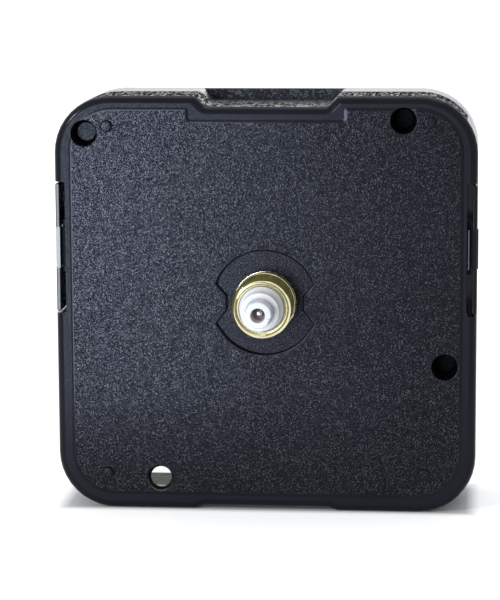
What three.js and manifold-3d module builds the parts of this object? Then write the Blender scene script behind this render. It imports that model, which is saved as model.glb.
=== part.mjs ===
// A quartz clock movement: a square black case with a brass threaded bushing in front, the hour tube,
// minute post and seconds pin that carry the hands, and inside it the stepping motor, the gear train,
// the motion work, the circuit board and the contacts of a bay for one round cell.
//
// Sizes are in millimetres. Every piece is first drawn in the dial frame: x to the right and y up as
// seen from the dial side, z out of the dial towards the viewer, and the shaft axis at x = y = 0. The
// plane z = 0 is the raised panel that the dial rests on. At the end the whole group is stood up.
import * as THREE from "three";
import { mergeVertices } from "three/addons/utils/BufferGeometryUtils.js";
import Module from "manifold-3d";

const wasm = await Module();
wasm.setup();

// Cell and case
const CELL_DIAMETER = 14.5;
const CELL_LENGTH = 50.5;
const CELL_SIDE_ROOM = 1.8;
const CELL_TOP_ROOM = 0.35; // between the cell and the partition
const CONTACT_ROOM = 1.45; // at each end of the cell
const WALL = 1.3;
const CORNER_WALL = 0.6; // where the bay runs into the rounded corners
const FRONT_WALL = 1.5;
const REAR_WALL = 1.5;
const CELL_DEPTH_ROOM = 0.2;
const PARTITION = 1.2; // between the cell bay and the train
const SHAFT_TO_PARTITION = 9.45;
const CORNER_RADIUS = 7.6;
const EDGE_RADIUS = 1.0;
const REAR_EDGE_RADIUS = 0.8;
const PARTING_DEPTH = 8.6; // where the front housing ends
const PARTING_GAP = 0.1;

// Front face
const PANEL_HEIGHT = 0.15;
const PANEL_BORDER = 1.75;
const PANEL_TOP_BORDER = 1.35;
const PANEL_BOTTOM_BORDER = 2.25;
const PANEL_STEP_WIDTH = 20.6;
const PANEL_STEP_DROP = 1.6;
const NOTCH_MOUTH_WIDTH = 19.0;
const NOTCH_FLOOR_WIDTH = 16.1;
const NOTCH_DROP = 1.4;
const NOTCH_SHIFT = 0.2; // of the notch and the panel's step to the right of the shaft
const FOOT_GAP_WIDTH = 19.1;
const FOOT_GAP_SLOPE = 1.2;
const FOOT_GAP_RISE = 0.45;
const PIP_RADIUS = 0.77;
const PIP_HEIGHT = 0.5;
const PIP_TOP_LEFT_INSET = { x: 6.94, y: 3.86 };
const PIP_TOP_RIGHT_INSET = { x: 6.23, y: 3.29 };
const PIP_BOTTOM_LEFT_INSET = { x: 6.55, y: 4.75 };
const PIP_BOTTOM_RIGHT_INSET = { x: 6.8, y: 5.15 };
const RECESS_RADIUS = 6.9;
const RECESS_DROP = 0.4;
const RECESS_SIDES = 48;
const KEY_REACH = 1.95; // how far each of the two keys stands into the recess
const KEY_OUTER_WIDTH = 5.0;
const KEY_INNER_WIDTH = 1.9;
const KEY_DROP = 0.15; // of a key's middle below the shaft
const HOLE_MOUTH_RADIUS = 1.78;
const HOLE_FLOOR_RADIUS = 1.2;
const HOLE_BLIND_DEPTH = 2.7;
const HOLE_DEEP_DEPTH = 3.6;
const HOLE_WALL = 0.8;
const HOLE_TOP_LEFT_INSET = { x: 3.88, y: 4.83 };
const HOLE_TOP_RIGHT_INSET = { x: 9.7, y: 3.05 };
const HOLE_RIGHT_INSET = { x: 4.14, y: 19.76 };
const HOLE_BOTTOM_LEFT_INSET = { x: 13.65, y: 4.1 };

// Snap latches on the two sides
const LATCH_LENGTH = 17.2;
const LATCH_THICKNESS = 0.65;
const LATCH_RISE = 7.15; // of the latch's middle above the shaft
const LATCH_PROUD = 0.15;
const LATCH_GAP = 0.5;
const LATCH_END_GAP = 0.2;
const LATCH_TIP_DEPTH = 0.35;
const LATCH_BAR = 1.3;
const LATCH_ROOT = 4.0; // behind the parting line
const LATCH_WINDOW_ROOM = 0.6;
const CATCH_STEPS = 3;
const CATCH_LENGTH = 5.3;
const CATCH_DEPTH = 2.6;
const CATCH_GAP = 0.15;
const LATCH_WALL = 1.0; // what is left of the wall behind a latch

// Bushing and hand shafts
const THREAD_RADIUS = 4.0;
const THREAD_DEPTH = 0.42;
const THREAD_PITCH = 0.75;
const THREAD_FLANK_SHARE = 0.5;
const THREAD_LENGTH = 5.1; // above the recess floor
const BUSHING_BORE_RADIUS = 3.02;
const BUSHING_MOUTH_RADIUS = 3.3;
const BUSHING_MOUTH_DEPTH = 0.4;
const BUSHING_FLANGE_RADIUS = 5.6;
const BUSHING_FLANGE = 0.6;
const BUSHING_COLLAR = 0.7; // unthreaded, next to the recess floor
const BUSHING_END_CHAMFER = 0.3;
const HOUR_TUBE_RADIUS = 2.9;
const HOUR_SEAT_RADIUS = 2.55; // where the hour hand is pressed on
const HOUR_SEAT_LENGTH = 2.4;
const HOUR_SHOULDER = 0.4;
const HOUR_BORE_RADIUS = 1.83;
const HOUR_TUBE_REACH = 8.5; // above the recess floor
const MINUTE_POST_RADIUS = 1.75;
const MINUTE_NECK_RADIUS = 1.5; // between the hour wheel and the cannon pinion
const MINUTE_HUB_RADIUS = 1.2; // through the centre wheel
const MINUTE_POST_REACH = 11.2; // above the recess floor
const MINUTE_ACROSS_FLATS = 3.1;
const MINUTE_FLAT_LENGTH = 2.6;
const MINUTE_FLAT_ANGLE = -27; // degrees
const MINUTE_BORE_RADIUS = 0.6;
const MINUTE_MOUTH_RADIUS = 1.08;
const MINUTE_MOUTH_DEPTH = 2.6;
const SECONDS_PIN_RADIUS = 0.48;
const SECONDS_PIN_DROP = 1.5; // of the pin's tip below the end of the minute post
const TIP_CHAMFER = 0.15;

// Gears: teeth and modules
const HOUR_TEETH = 40;
const MOTION_PINION_TEETH = 10;
const MOTION_MODULE = 0.3;
const MOTION_TEETH = 36;
const CANNON_TEETH = 12;
const SETTING_TEETH = 12;
const CENTER_TEETH = 60;
const THIRD_PINION_TEETH = 8;
const THIRD_TEETH = 64;
const SECONDS_PINION_TEETH = 8;
const THIRD_MODULE = 0.25;
const SECONDS_TEETH = 40;
const MID_PINION_TEETH = 8;
const SECONDS_MODULE = 0.3;
const MID_TEETH = 48;
const ROTOR_TEETH = 8;
const ROTOR_MODULE = 0.25;
const PRESSURE_ANGLE = 20; // degrees
const BACKLASH_SHARE = 0.16; // of the module, taken off each tooth
const PINION_SHIFT_SHARE = 0.5; // of the module
const PINION_TIP_SHARE = 1.2;
const WHEEL_TIP_SHARE = 0.5;
const PINION_ROOT_SHARE = 0.8;
const WHEEL_ROOT_SHARE = 1.6;

// Where the wheels stand round the shaft, in degrees, counter-clockwise seen from the dial
const MOTION_ANGLE = 150;
const SETTING_ANGLE = 200;
const THIRD_ANGLE = 20;
const ROTOR_ANGLE = 139;
const TRAIN_BEND = 13; // of the rotor's arm away from a straight line

// Gears, plates and gaps, front to back. The shares are of the depth of the case.
const GEAR_SHARE = 0.05;
const PLATE_SHARE = 0.05;
const BRIDGE_SHARE = 0.0625;
const LAYER_GAP = 0.25;
const PLATE_GAP = 0.35;
const RUN_GAP = 0.08; // radial running clearance
const SEAT_GAP = 0.1; // between pieces that rest on each other
const SIDE_GAP = 0.4; // round the plates
const ARBOR_RADIUS = 0.6;
const PIVOT_RADIUS = 0.35;
const PIVOT_LENGTH = 0.6;
const PRESS_GAP = 0.05; // between two pieces of one moving body
const BOSS_RADIUS = 1.3;
const BOSS_WALL = 0.75;
const POST_PIN_RADIUS = 0.6;
const PILLAR_RADIUS = 1.2;
const PILLAR_PIN_RADIUS = 0.6;
const PILLAR_PIN_PROUD = 0.35; // past the last plate that it holds
const PLATE_RIM = 1.6; // of a plate round its outermost holes
const PILLAR_TOP = { x: 2.5, y: 13.0 };
const PILLAR_LEFT = { x: -19.0, y: 9.0 };
const PILLAR_LOW_LEFT_X = -8.5;
const PILLAR_LOW_RIGHT_X = 9.5;

// Stepping motor
const MAGNET_RADIUS = 3.0;
const MAGNET_LENGTH = 1.7;
const AIR_GAP = 0.4;
const STATOR_RIM = 1.7;
const STATOR_THICKNESS = 1.0;
const STATOR_ARM_RADIUS = 1.3;
const CORE_THICKNESS = 1.0;
const CORE_WIDTH = 2.2;
const COIL_RISE = 11.4; // of the coil's axis above the rotor
const ARM_BEND_RISE = 5.0; // where the stator's arms turn towards the coil
const ARM_SPREAD = 7.6; // of the arm ends from the rotor's middle
const ARM_ROOT = 3.9;
const STATOR_STAND_OFF = 0.8; // behind the train plate
const CORE_END = 1.4; // past the pin at each end
const BOBBIN_FLANGE = 0.8;
const BOBBIN_WIDTH = 6.6;
const BOBBIN_TUBE_WALL = 0.5;
const BOBBIN_END_GAP = 1.7; // from its end to the pin of an arm
const WINDING_RADIUS = 2.9;
const COIL_TOP_ROOM = 0.71; // between the bobbin and the wall above it

// Circuit board
const BOARD_THICKNESS = 1.0;
const BOARD_HEIGHT = 8.8;
const BOARD_WIDTH = 19.6;
const BOARD_LEFT = 5.0;
const BOARD_BOTTOM = 13.4;
const BOARD_POST_INSET = { x: 3.0, y: 1.8 };
const BOARD_POST_RADIUS = 1.5;
const BOARD_PIN_RADIUS = 0.8;
const BOARD_INSET = 1.2; // of what is on the board from its edges
const CRYSTAL_RADIUS = 1.5;
const CRYSTAL_STEP = 0.3;
const CRYSTAL_LENGTH = 8.2;
const CHIP_RADIUS = 2.0;
const CHIP_HEIGHT = 1.1;

// Contacts of the cell
const STRIP_THICKNESS = 0.3;
const STRIP_WIDTH = 1.6;
const STRIP_ROOM = 0.2; // behind a strip
const CONTACT_WIDTH = 9.8;
const CONTACT_HEIGHT = 9.0;
const CONTACT_GAP = 0.15; // between a contact and the wall behind it
const SPRING_REACH = 1.35;
const SPRING_WIDTH = 6.0;
const SPRING_STEPS = 8;
const SPRING_FREE_GAP = 0.3;
const DIMPLE_REACH = 0.6;
const DIMPLE_RADIUS = 2.2;
const DIMPLE_TIP_RADIUS = 1.5;

// Setting knob
const STEM_RADIUS = 1.2;
const STEM_PIVOT_RADIUS = 0.7;
const STEM_FLAT = 0.3;
const KNOB_RADIUS = 6.2;
const KNOB_THICKNESS = 2.8;
const KNOB_PROUD = 1.3;
const KNOB_RIDGES = 30;
const RIDGE_DEPTH = 0.3;
const KNOB_POCKET_ROOM = 0.9;
const KNOB_BAR_WIDTH = 2.2;
const KNOB_BAR_HEIGHT = 0.6;
const KNOB_DISH_DEPTH = 0.9;
const KNOB_RIM = 1.1;
const RIDGE_LEAN_SHARE = -0.3;
const STEM_CAP = 0.4; // of the knob over the end of the stem
const POCKET_FLOOR = 1.2;

// Small marks of the rear cover
const TOP_SLOT_WIDTH = 1.3;
const TOP_SLOT_DEPTH = 1.4;
const TOP_SLOT_DROP = 0.5;
const TOP_SLOT_INSET = 7.25;

const CUT_OVERRUN = 1.0; // how far a cutting body stands past what it cuts
const MERGE_DISTANCE = 0.0001; // corners nearer than this are one
const ROUND_SIDES = 32;
const SMALL_SIDES = 10;
const CORNER_STEPS = 8; // of a rounded corner of the case
const INNER_STEPS = 5;
const EDGE_STEPS = 3;
const degrees = (angle) => (angle * Math.PI) / 180;
const along = (distance, angle) => ({ x: distance * Math.cos(angle), y: distance * Math.sin(angle) });

// Derived sizes of the case
const BAY_LENGTH = CELL_LENGTH + 2 * CONTACT_ROOM;
const BAY_HEIGHT = CELL_DIAMETER + CELL_SIDE_ROOM;
const CASE_WIDTH = BAY_LENGTH + 2 * WALL;
const CASE_DEPTH = FRONT_WALL + CELL_DIAMETER;
const HALF_WIDTH = CASE_WIDTH / 2;
const CASE_BOTTOM = -(SHAFT_TO_PARTITION + PARTITION + BAY_HEIGHT + WALL);
const BORDER_Z = -PANEL_HEIGHT;
const RECESS_Z = -RECESS_DROP;
const CASE_BACK_Z = -CASE_DEPTH;
const REAR_INSIDE_Z = CASE_BACK_Z + REAR_WALL;
const PARTITION_TOP = -SHAFT_TO_PARTITION;
const PARTITION_BOTTOM = PARTITION_TOP - PARTITION;
const BAY_FLOOR_Z = CASE_BACK_Z + CELL_DIAMETER + CELL_DEPTH_ROOM;
const LATCH_SOCKET = LATCH_THICKNESS + LATCH_GAP - LATCH_PROUD; // how deep the side is cut for a latch
const LATCH_WALL_X = HALF_WIDTH - LATCH_SOCKET; // outer face of the wall behind a latch
const CHAMBER_HALF_WIDTH = LATCH_WALL_X - LATCH_WALL;

// Layers of the train, each given by the z of its front face
const GEAR_THICKNESS = GEAR_SHARE * CASE_DEPTH;
const PLATE_THICKNESS = PLATE_SHARE * CASE_DEPTH;
const BRIDGE_THICKNESS = BRIDGE_SHARE * CASE_DEPTH;
const HOUR_Z = -FRONT_WALL - BUSHING_FLANGE - SEAT_GAP - LAYER_GAP;
const CANNON_Z = HOUR_Z - GEAR_THICKNESS - LAYER_GAP;
const CENTER_Z = CANNON_Z - GEAR_THICKNESS - LAYER_GAP;
const PLATE_Z = CENTER_Z - GEAR_THICKNESS - PLATE_GAP;
const PLATE_BACK_Z = PLATE_Z - PLATE_THICKNESS;
const THIRD_Z = PLATE_BACK_Z - PLATE_GAP;
const SECONDS_Z = THIRD_Z - GEAR_THICKNESS - LAYER_GAP;
const MID_Z = SECONDS_Z - GEAR_THICKNESS - LAYER_GAP;
const BRIDGE_Z = MID_Z - GEAR_THICKNESS - PLATE_GAP;
const BRIDGE_BACK_Z = BRIDGE_Z - BRIDGE_THICKNESS;

// Modules that follow from a shared centre distance, and the places of the axes
const motionDistance = (MOTION_MODULE * (HOUR_TEETH + MOTION_PINION_TEETH)) / 2;
const CANNON_MODULE = (2 * motionDistance) / (MOTION_TEETH + CANNON_TEETH);
const thirdDistance = (THIRD_MODULE * (THIRD_TEETH + SECONDS_PINION_TEETH)) / 2;
const CENTER_MODULE = (2 * thirdDistance) / (CENTER_TEETH + THIRD_PINION_TEETH);
const midDistance = (SECONDS_MODULE * (SECONDS_TEETH + MID_PINION_TEETH)) / 2;
const rotorDistance = (ROTOR_MODULE * (MID_TEETH + ROTOR_TEETH)) / 2;
const settingDistance = (CANNON_MODULE * (MOTION_TEETH + SETTING_TEETH)) / 2;
const SHAFT = { x: 0, y: 0 };
const sum = (a, b) => ({ x: a.x + b.x, y: a.y + b.y });
const MOTION = along(motionDistance, degrees(MOTION_ANGLE));
const SETTING = sum(MOTION, along(settingDistance, degrees(SETTING_ANGLE)));
const THIRD = along(thirdDistance, degrees(THIRD_ANGLE));
const MID = along(midDistance, degrees(ROTOR_ANGLE + TRAIN_BEND / 2));
const ROTOR = sum(MID, along(rotorDistance, degrees(ROTOR_ANGLE - TRAIN_BEND / 2)));
const COIL = { x: ROTOR.x, y: ROTOR.y + COIL_RISE };

// The case closes over the coil, with room below the floor of the notch.
const CASE_TOP = COIL.y + BOBBIN_WIDTH / 2 + COIL_TOP_ROOM + WALL + NOTCH_DROP;
const CASE_HEIGHT = CASE_TOP - CASE_BOTTOM;

// Materials
const plastic = (color, roughness) => new THREE.MeshStandardMaterial({ color, roughness, metalness: 0 });
const metal = (color, roughness) => new THREE.MeshStandardMaterial({ color, roughness, metalness: 1 });
const BLACK = plastic(0x2b2d33, 0.55);
const BLACK_GLOSS = plastic(0x17181b, 0.25);
const WHITE = plastic(0xe6e6ea, 0.4);
const NATURAL = plastic(0xd8d4c4, 0.45);
const CLEAR_GREY = plastic(0xb9bec4, 0.3);
const BRASS = metal(0xc8a945, 0.28);
const STEEL = metal(0xb8bcc2, 0.3);
const NICKEL = metal(0xc9c6bc, 0.32);
const MAGNET = metal(0x4c4d52, 0.5);
const COPPER = metal(0xb0602f, 0.35);
const BOARD = plastic(0xb98f4e, 0.6);
const EPOXY = plastic(0x0f0f10, 0.35);

// A closed geometry as a solid that can be cut and joined.
function solid(geometry) {
  const bare = geometry.index ? geometry.toNonIndexed() : geometry.clone();
  bare.deleteAttribute("normal");
  bare.deleteAttribute("uv");
  const merged = mergeVertices(bare, MERGE_DISTANCE);
  const corners = merged.index.array;
  const kept = [];
  for (let i = 0; i < corners.length; i += 3) {
    const [a, b, c] = corners.slice(i, i + 3);
    if (a !== b && b !== c && c !== a) kept.push(a, b, c);
  }
  const vertProperties = merged.attributes.position.array;
  return new wasm.Manifold(
    new wasm.Mesh({ numProp: 3, vertProperties, triVerts: new Uint32Array(kept) }),
  );
}

// A solid as a named mesh whose own origin is at the given place.
function piece(name, body, material, place = SHAFT) {
  const made = body.getMesh();
  const geometry = new THREE.BufferGeometry();
  geometry.setAttribute("position", new THREE.BufferAttribute(new Float32Array(made.vertProperties), 3));
  geometry.setIndex(new THREE.BufferAttribute(new Uint32Array(made.triVerts), 1));
  geometry.computeVertexNormals();
  const mesh = new THREE.Mesh(geometry, material);
  mesh.name = name;
  mesh.position.set(place.x, place.y, 0);
  return mesh;
}

const join = (...bodies) => bodies.reduce((whole, body) => whole.add(body));
const cut = (body, ...tools) => tools.reduce((rest, tool) => rest.subtract(tool), body);

// A flat outline given thickness between two z values.
function slab(shape, back, front, curveSegments = INNER_STEPS) {
  const geometry = new THREE.ExtrudeGeometry(shape, {
    depth: front - back,
    bevelEnabled: false,
    curveSegments,
  });
  return solid(geometry.translate(0, 0, back));
}

function box(left, right, bottom, top, back, front) {
  const geometry = new THREE.BoxGeometry(right - left, top - bottom, front - back);
  return solid(geometry.translate((left + right) / 2, (bottom + top) / 2, (back + front) / 2));
}

// A round rod, or a cone where the front radius differs, along z.
function rod(radius, back, front, at = SHAFT, sides = SMALL_SIDES, frontRadius = radius) {
  const geometry = new THREE.CylinderGeometry(frontRadius, radius, front - back, sides);
  geometry.rotateX(Math.PI / 2);
  return solid(geometry.translate(at.x, at.y, (back + front) / 2));
}

// A body of revolution about the z axis, from its outline of [radius, z] points.
function turned(outline, sides = ROUND_SIDES) {
  const points = outline.map(([radius, z]) => new THREE.Vector2(radius, z));
  if (THREE.ShapeUtils.area(points) < 0) points.reverse();
  return solid(new THREE.LatheGeometry([...points, points[0]], sides).rotateX(Math.PI / 2));
}

function shapeOf(points) {
  return new THREE.Shape(points.map((p) => new THREE.Vector2(p.x, p.y)));
}

function roundedRectangle(left, right, bottom, top, radius) {
  const shape = new THREE.Shape();
  shape.absarc(right - radius, bottom + radius, radius, -Math.PI / 2, 0, false);
  shape.absarc(right - radius, top - radius, radius, 0, Math.PI / 2, false);
  shape.absarc(left + radius, top - radius, radius, Math.PI / 2, Math.PI, false);
  shape.absarc(left + radius, bottom + radius, radius, Math.PI, 1.5 * Math.PI, false);
  shape.closePath();
  return shape;
}

// The convex outline round several circles.
function hullOutline(circles, sides = SMALL_SIDES) {
  const points = circles.flatMap(({ x, y, radius }) =>
    Array.from({ length: sides }, (_, i) => sum({ x, y }, along(radius, (2 * Math.PI * i) / sides))),
  );
  points.sort((a, b) => a.x - b.x || a.y - b.y);
  const turn = (a, b, c) => (b.x - a.x) * (c.y - a.y) - (b.y - a.y) * (c.x - a.x);
  const half = (list) => {
    const kept = [];
    for (const p of list) {
      while (kept.length > 1 && turn(kept.at(-2), kept.at(-1), p) <= 0) kept.pop();
      kept.push(p);
    }
    return kept.slice(0, -1);
  };
  return shapeOf([...half(points), ...half([...points].reverse())]);
}

// A bent strip of constant thickness: the outline that follows a line of points on both sides.
function stripOutline(line, thickness) {
  const normal = (a, b) => {
    const length = Math.hypot(b.x - a.x, b.y - a.y);
    return { x: -(b.y - a.y) / length, y: (b.x - a.x) / length };
  };
  const side = (sign) =>
    line.map((p, i) => {
      const before = i > 0 ? normal(line[i - 1], p) : normal(p, line[i + 1]);
      const after = i < line.length - 1 ? normal(p, line[i + 1]) : before;
      const miter = { x: before.x + after.x, y: before.y + after.y };
      const reach = (sign * thickness) / (1 + before.x * after.x + before.y * after.y);
      return { x: p.x + miter.x * reach * 0.5, y: p.y + miter.y * reach * 0.5 };
    });
  return shapeOf([...side(-1), ...side(1).reverse()]);
}

const involute = (angle) => Math.tan(angle) - angle;

// The outline of a spur gear with involute flanks. A pinion's teeth are shifted outwards and a
// wheel's inwards, so that a pinion of few teeth is not undercut. One tooth points along the phase.
function gearOutline(teeth, module, pinion, phase) {
  const pitchRadius = (teeth * module) / 2;
  const baseRadius = pitchRadius * Math.cos(degrees(PRESSURE_ANGLE));
  const shift = pinion ? PINION_SHIFT_SHARE : -PINION_SHIFT_SHARE;
  const tip = pitchRadius + module * (pinion ? PINION_TIP_SHARE : WHEEL_TIP_SHARE);
  const root = pitchRadius - module * (pinion ? PINION_ROOT_SHARE : WHEEL_ROOT_SHARE);
  const arc = Math.PI / 2 + 2 * shift * Math.tan(degrees(PRESSURE_ANGLE)) - BACKLASH_SHARE;
  const halfAngle = (radius) => {
    const slope = Math.acos(Math.min(1, baseRadius / Math.max(radius, baseRadius)));
    return arc / teeth + involute(degrees(PRESSURE_ANGLE)) - involute(slope);
  };
  const flank = pinion ? [root, (baseRadius + tip) / 2, tip] : [root, tip];
  const points = [];
  for (let i = 0; i < teeth; i += 1) {
    const middle = phase + (2 * Math.PI * i) / teeth;
    flank.forEach((radius) => points.push(along(radius, middle - halfAngle(radius))));
    [...flank].reverse().forEach((radius) => points.push(along(radius, middle + halfAngle(radius))));
  }
  return shapeOf(points);
}

// The phase of a gear that meshes with another one of a known phase.
function meshPhase(phase, teeth, at, otherTeeth, otherAt) {
  const line = Math.atan2(otherAt.y - at.y, otherAt.x - at.x);
  const offset = ((line - phase) * teeth) / (2 * Math.PI);
  return line + Math.PI - ((0.5 - offset) * 2 * Math.PI) / otherTeeth;
}

// Outline of the case, with the gap between its feet and, where asked for, the notch in its top edge.
function caseOutline(inset, notched) {
  const right = HALF_WIDTH - inset;
  const top = CASE_TOP - inset;
  const bottom = CASE_BOTTOM + inset;
  const radius = CORNER_RADIUS - inset;
  const shape = new THREE.Shape();
  shape.absarc(right - radius, bottom + radius, radius, -Math.PI / 2, 0, false);
  shape.absarc(right - radius, top - radius, radius, 0, Math.PI / 2, false);
  if (notched) {
    shape.lineTo(NOTCH_SHIFT + NOTCH_MOUTH_WIDTH / 2, top);
    shape.lineTo(NOTCH_SHIFT + NOTCH_FLOOR_WIDTH / 2, top - NOTCH_DROP);
    shape.lineTo(NOTCH_SHIFT - NOTCH_FLOOR_WIDTH / 2, top - NOTCH_DROP);
    shape.lineTo(NOTCH_SHIFT - NOTCH_MOUTH_WIDTH / 2, top);
  }
  shape.absarc(-right + radius, top - radius, radius, Math.PI / 2, Math.PI, false);
  shape.absarc(-right + radius, bottom + radius, radius, Math.PI, 1.5 * Math.PI, false);
  const footGap = FOOT_GAP_WIDTH / 2;
  shape.lineTo(-footGap, bottom);
  shape.lineTo(-footGap + FOOT_GAP_SLOPE, bottom + FOOT_GAP_RISE);
  shape.lineTo(footGap - FOOT_GAP_SLOPE, bottom + FOOT_GAP_RISE);
  shape.lineTo(footGap, bottom);
  shape.closePath();
  return shape;
}

// The case outline between two z values with one rounded end: the front end, or the back end.
function caseBlock(back, front, edge, notched, roundFront) {
  const geometry = new THREE.ExtrudeGeometry(caseOutline(0, notched), {
    depth: front - back,
    bevelThickness: edge,
    bevelSize: edge,
    bevelOffset: -edge,
    bevelSegments: EDGE_STEPS,
    curveSegments: CORNER_STEPS,
  });
  geometry.translate(0, 0, roundFront ? back - edge : back + edge);
  const keep = box(-CASE_WIDTH, CASE_WIDTH, -CASE_HEIGHT, CASE_HEIGHT, back, front);
  return solid(geometry).intersect(keep);
}

// A place given by how far it stands in from the case's sides: signs are -1 for left or bottom.
function insetPlace(signX, signY, inset) {
  const y = signY > 0 ? CASE_TOP - inset.y : CASE_BOTTOM + inset.y;
  return { x: signX * (HALF_WIDTH - inset.x), y };
}

const HOLE_TOP_LEFT = insetPlace(-1, 1, HOLE_TOP_LEFT_INSET);
const HOLE_TOP_RIGHT = insetPlace(1, 1, HOLE_TOP_RIGHT_INSET);
const HOLE_RIGHT = insetPlace(1, -1, HOLE_RIGHT_INSET);
const HOLE_BOTTOM_LEFT = insetPlace(-1, -1, HOLE_BOTTOM_LEFT_INSET);
const PIPS = [
  insetPlace(-1, 1, PIP_TOP_LEFT_INSET),
  insetPlace(1, 1, PIP_TOP_RIGHT_INSET),
  insetPlace(-1, -1, PIP_BOTTOM_LEFT_INSET),
  insetPlace(1, -1, PIP_BOTTOM_RIGHT_INSET),
];
const PILLAR_LOW_Y = PARTITION_TOP + SIDE_GAP + PLATE_RIM;
const PILLAR_LOW_LEFT = { x: PILLAR_LOW_LEFT_X, y: PILLAR_LOW_Y };
const PILLAR_LOW_RIGHT = { x: PILLAR_LOW_RIGHT_X, y: PILLAR_LOW_Y };
const BRIDGE_PILLARS = [PILLAR_TOP, PILLAR_LOW_LEFT, PILLAR_LOW_RIGHT];

// Depths of the motor, the board and the contacts
const STATOR_Z = PLATE_BACK_Z - STATOR_STAND_OFF;
const STATOR_BACK_Z = STATOR_Z - STATOR_THICKNESS;
const CORE_Z = STATOR_BACK_Z - SEAT_GAP;
const CORE_BACK_Z = CORE_Z - CORE_THICKNESS;
const COIL_Z = (CORE_Z + CORE_BACK_Z) / 2;
const ARM_ENDS = [-1, 1].map((side) => ({ x: ROTOR.x + side * ARM_SPREAD, y: COIL.y }));
const BOBBIN_LENGTH = 2 * (ARM_SPREAD - BOBBIN_END_GAP);
const STRIP_BACK_Z = REAR_INSIDE_Z + STRIP_ROOM;
const STRIP_Z = STRIP_BACK_Z + STRIP_WIDTH;
const BOARD_BACK_Z = STRIP_Z + SEAT_GAP;
const BOARD_Z = BOARD_BACK_Z + BOARD_THICKNESS;
const BOARD_RIGHT = BOARD_LEFT + BOARD_WIDTH;
const BOARD_TOP = BOARD_BOTTOM + BOARD_HEIGHT;
const BOARD_POSTS = [BOARD_LEFT + BOARD_POST_INSET.x, BOARD_RIGHT - BOARD_POST_INSET.x].map((x) => ({
  x,
  y: BOARD_TOP - BOARD_POST_INSET.y,
}));
const CELL_Y = PARTITION_BOTTOM - CELL_TOP_ROOM - CELL_DIAMETER / 2;
const CELL_Z = CASE_BACK_Z + CELL_DIAMETER / 2;
const KNOB_Z = CASE_BACK_Z - KNOB_PROUD + KNOB_THICKNESS;
const POCKET_Z = KNOB_Z + PLATE_GAP;
const POCKET_RADIUS = KNOB_RADIUS + KNOB_POCKET_ROOM;
const POST_Z = CENTER_Z + LAYER_GAP;

// A cavity that follows the case's outline at an inset, kept within a box.
function cavity(inset, notched, left, right, bottom, top, back, front) {
  const outline = slab(caseOutline(inset, notched), back, front, INNER_STEPS);
  return outline.intersect(box(left, right, bottom, top, back, front));
}

function bayCavity(back, front) {
  const reach = BAY_LENGTH / 2;
  return cavity(CORNER_WALL, false, -reach, reach, CASE_BOTTOM + WALL, PARTITION_BOTTOM, back, front);
}

// A blind hole in the front face: the cone that is cut and the boss behind the wall that holds it.
function blindHole(at, depth) {
  const back = -depth;
  const boss = rod(HOLE_MOUTH_RADIUS + HOLE_WALL, back - HOLE_WALL, -FRONT_WALL / 2, at, ROUND_SIDES);
  const opening = taperedHole(at, back);
  return { boss, opening };
}

function taperedHole(at, back) {
  const mouth = rod(HOLE_MOUTH_RADIUS, BORDER_Z - PANEL_HEIGHT, CUT_OVERRUN, at, ROUND_SIDES);
  const cone = rod(HOLE_FLOOR_RADIUS, back, BORDER_Z - PANEL_HEIGHT, at, ROUND_SIDES, HOLE_MOUTH_RADIUS);
  return join(mouth, cone);
}

// The raised panel: a rounded rectangle with a step down below the notch.
function panelShape() {
  const right = HALF_WIDTH - PANEL_BORDER;
  const top = CASE_TOP - PANEL_TOP_BORDER;
  const bottom = CASE_BOTTOM + PANEL_BOTTOM_BORDER;
  const panel = roundedRectangle(-right, right, bottom, top, CORNER_RADIUS - PANEL_BORDER);
  const left = NOTCH_SHIFT - PANEL_STEP_WIDTH / 2;
  const low = top - PANEL_STEP_DROP;
  const dent = box(left, left + PANEL_STEP_WIDTH, low, CASE_TOP, -FRONT_WALL, CUT_OVERRUN);
  return cut(slab(panel, -FRONT_WALL / 2, 0, CORNER_STEPS), dent);
}

// The round recess in the panel with a key that stands into it from each side.
function panelRecess() {
  const disc = rod(RECESS_RADIUS, RECESS_Z, CUT_OVERRUN, SHAFT, RECESS_SIDES);
  const inner = RECESS_RADIUS - KEY_REACH;
  const outer = RECESS_RADIUS + KEY_REACH;
  const keys = [-1, 1].map((side) => {
    const corners = [
      { x: side * inner, y: -KEY_DROP - KEY_INNER_WIDTH / 2 },
      { x: side * outer, y: -KEY_DROP - KEY_OUTER_WIDTH },
      { x: side * outer, y: -KEY_DROP + KEY_OUTER_WIDTH },
      { x: side * inner, y: -KEY_DROP + KEY_INNER_WIDTH / 2 },
    ];
    return slab(shapeOf(corners), RECESS_Z - CUT_OVERRUN, 2 * CUT_OVERRUN);
  });
  return cut(disc, ...keys);
}

function pips() {
  const tip = PIP_RADIUS - TIP_CHAMFER;
  return PIPS.map((at) => rod(PIP_RADIUS, BORDER_Z, PIP_HEIGHT, at, SMALL_SIDES, tip));
}

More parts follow.
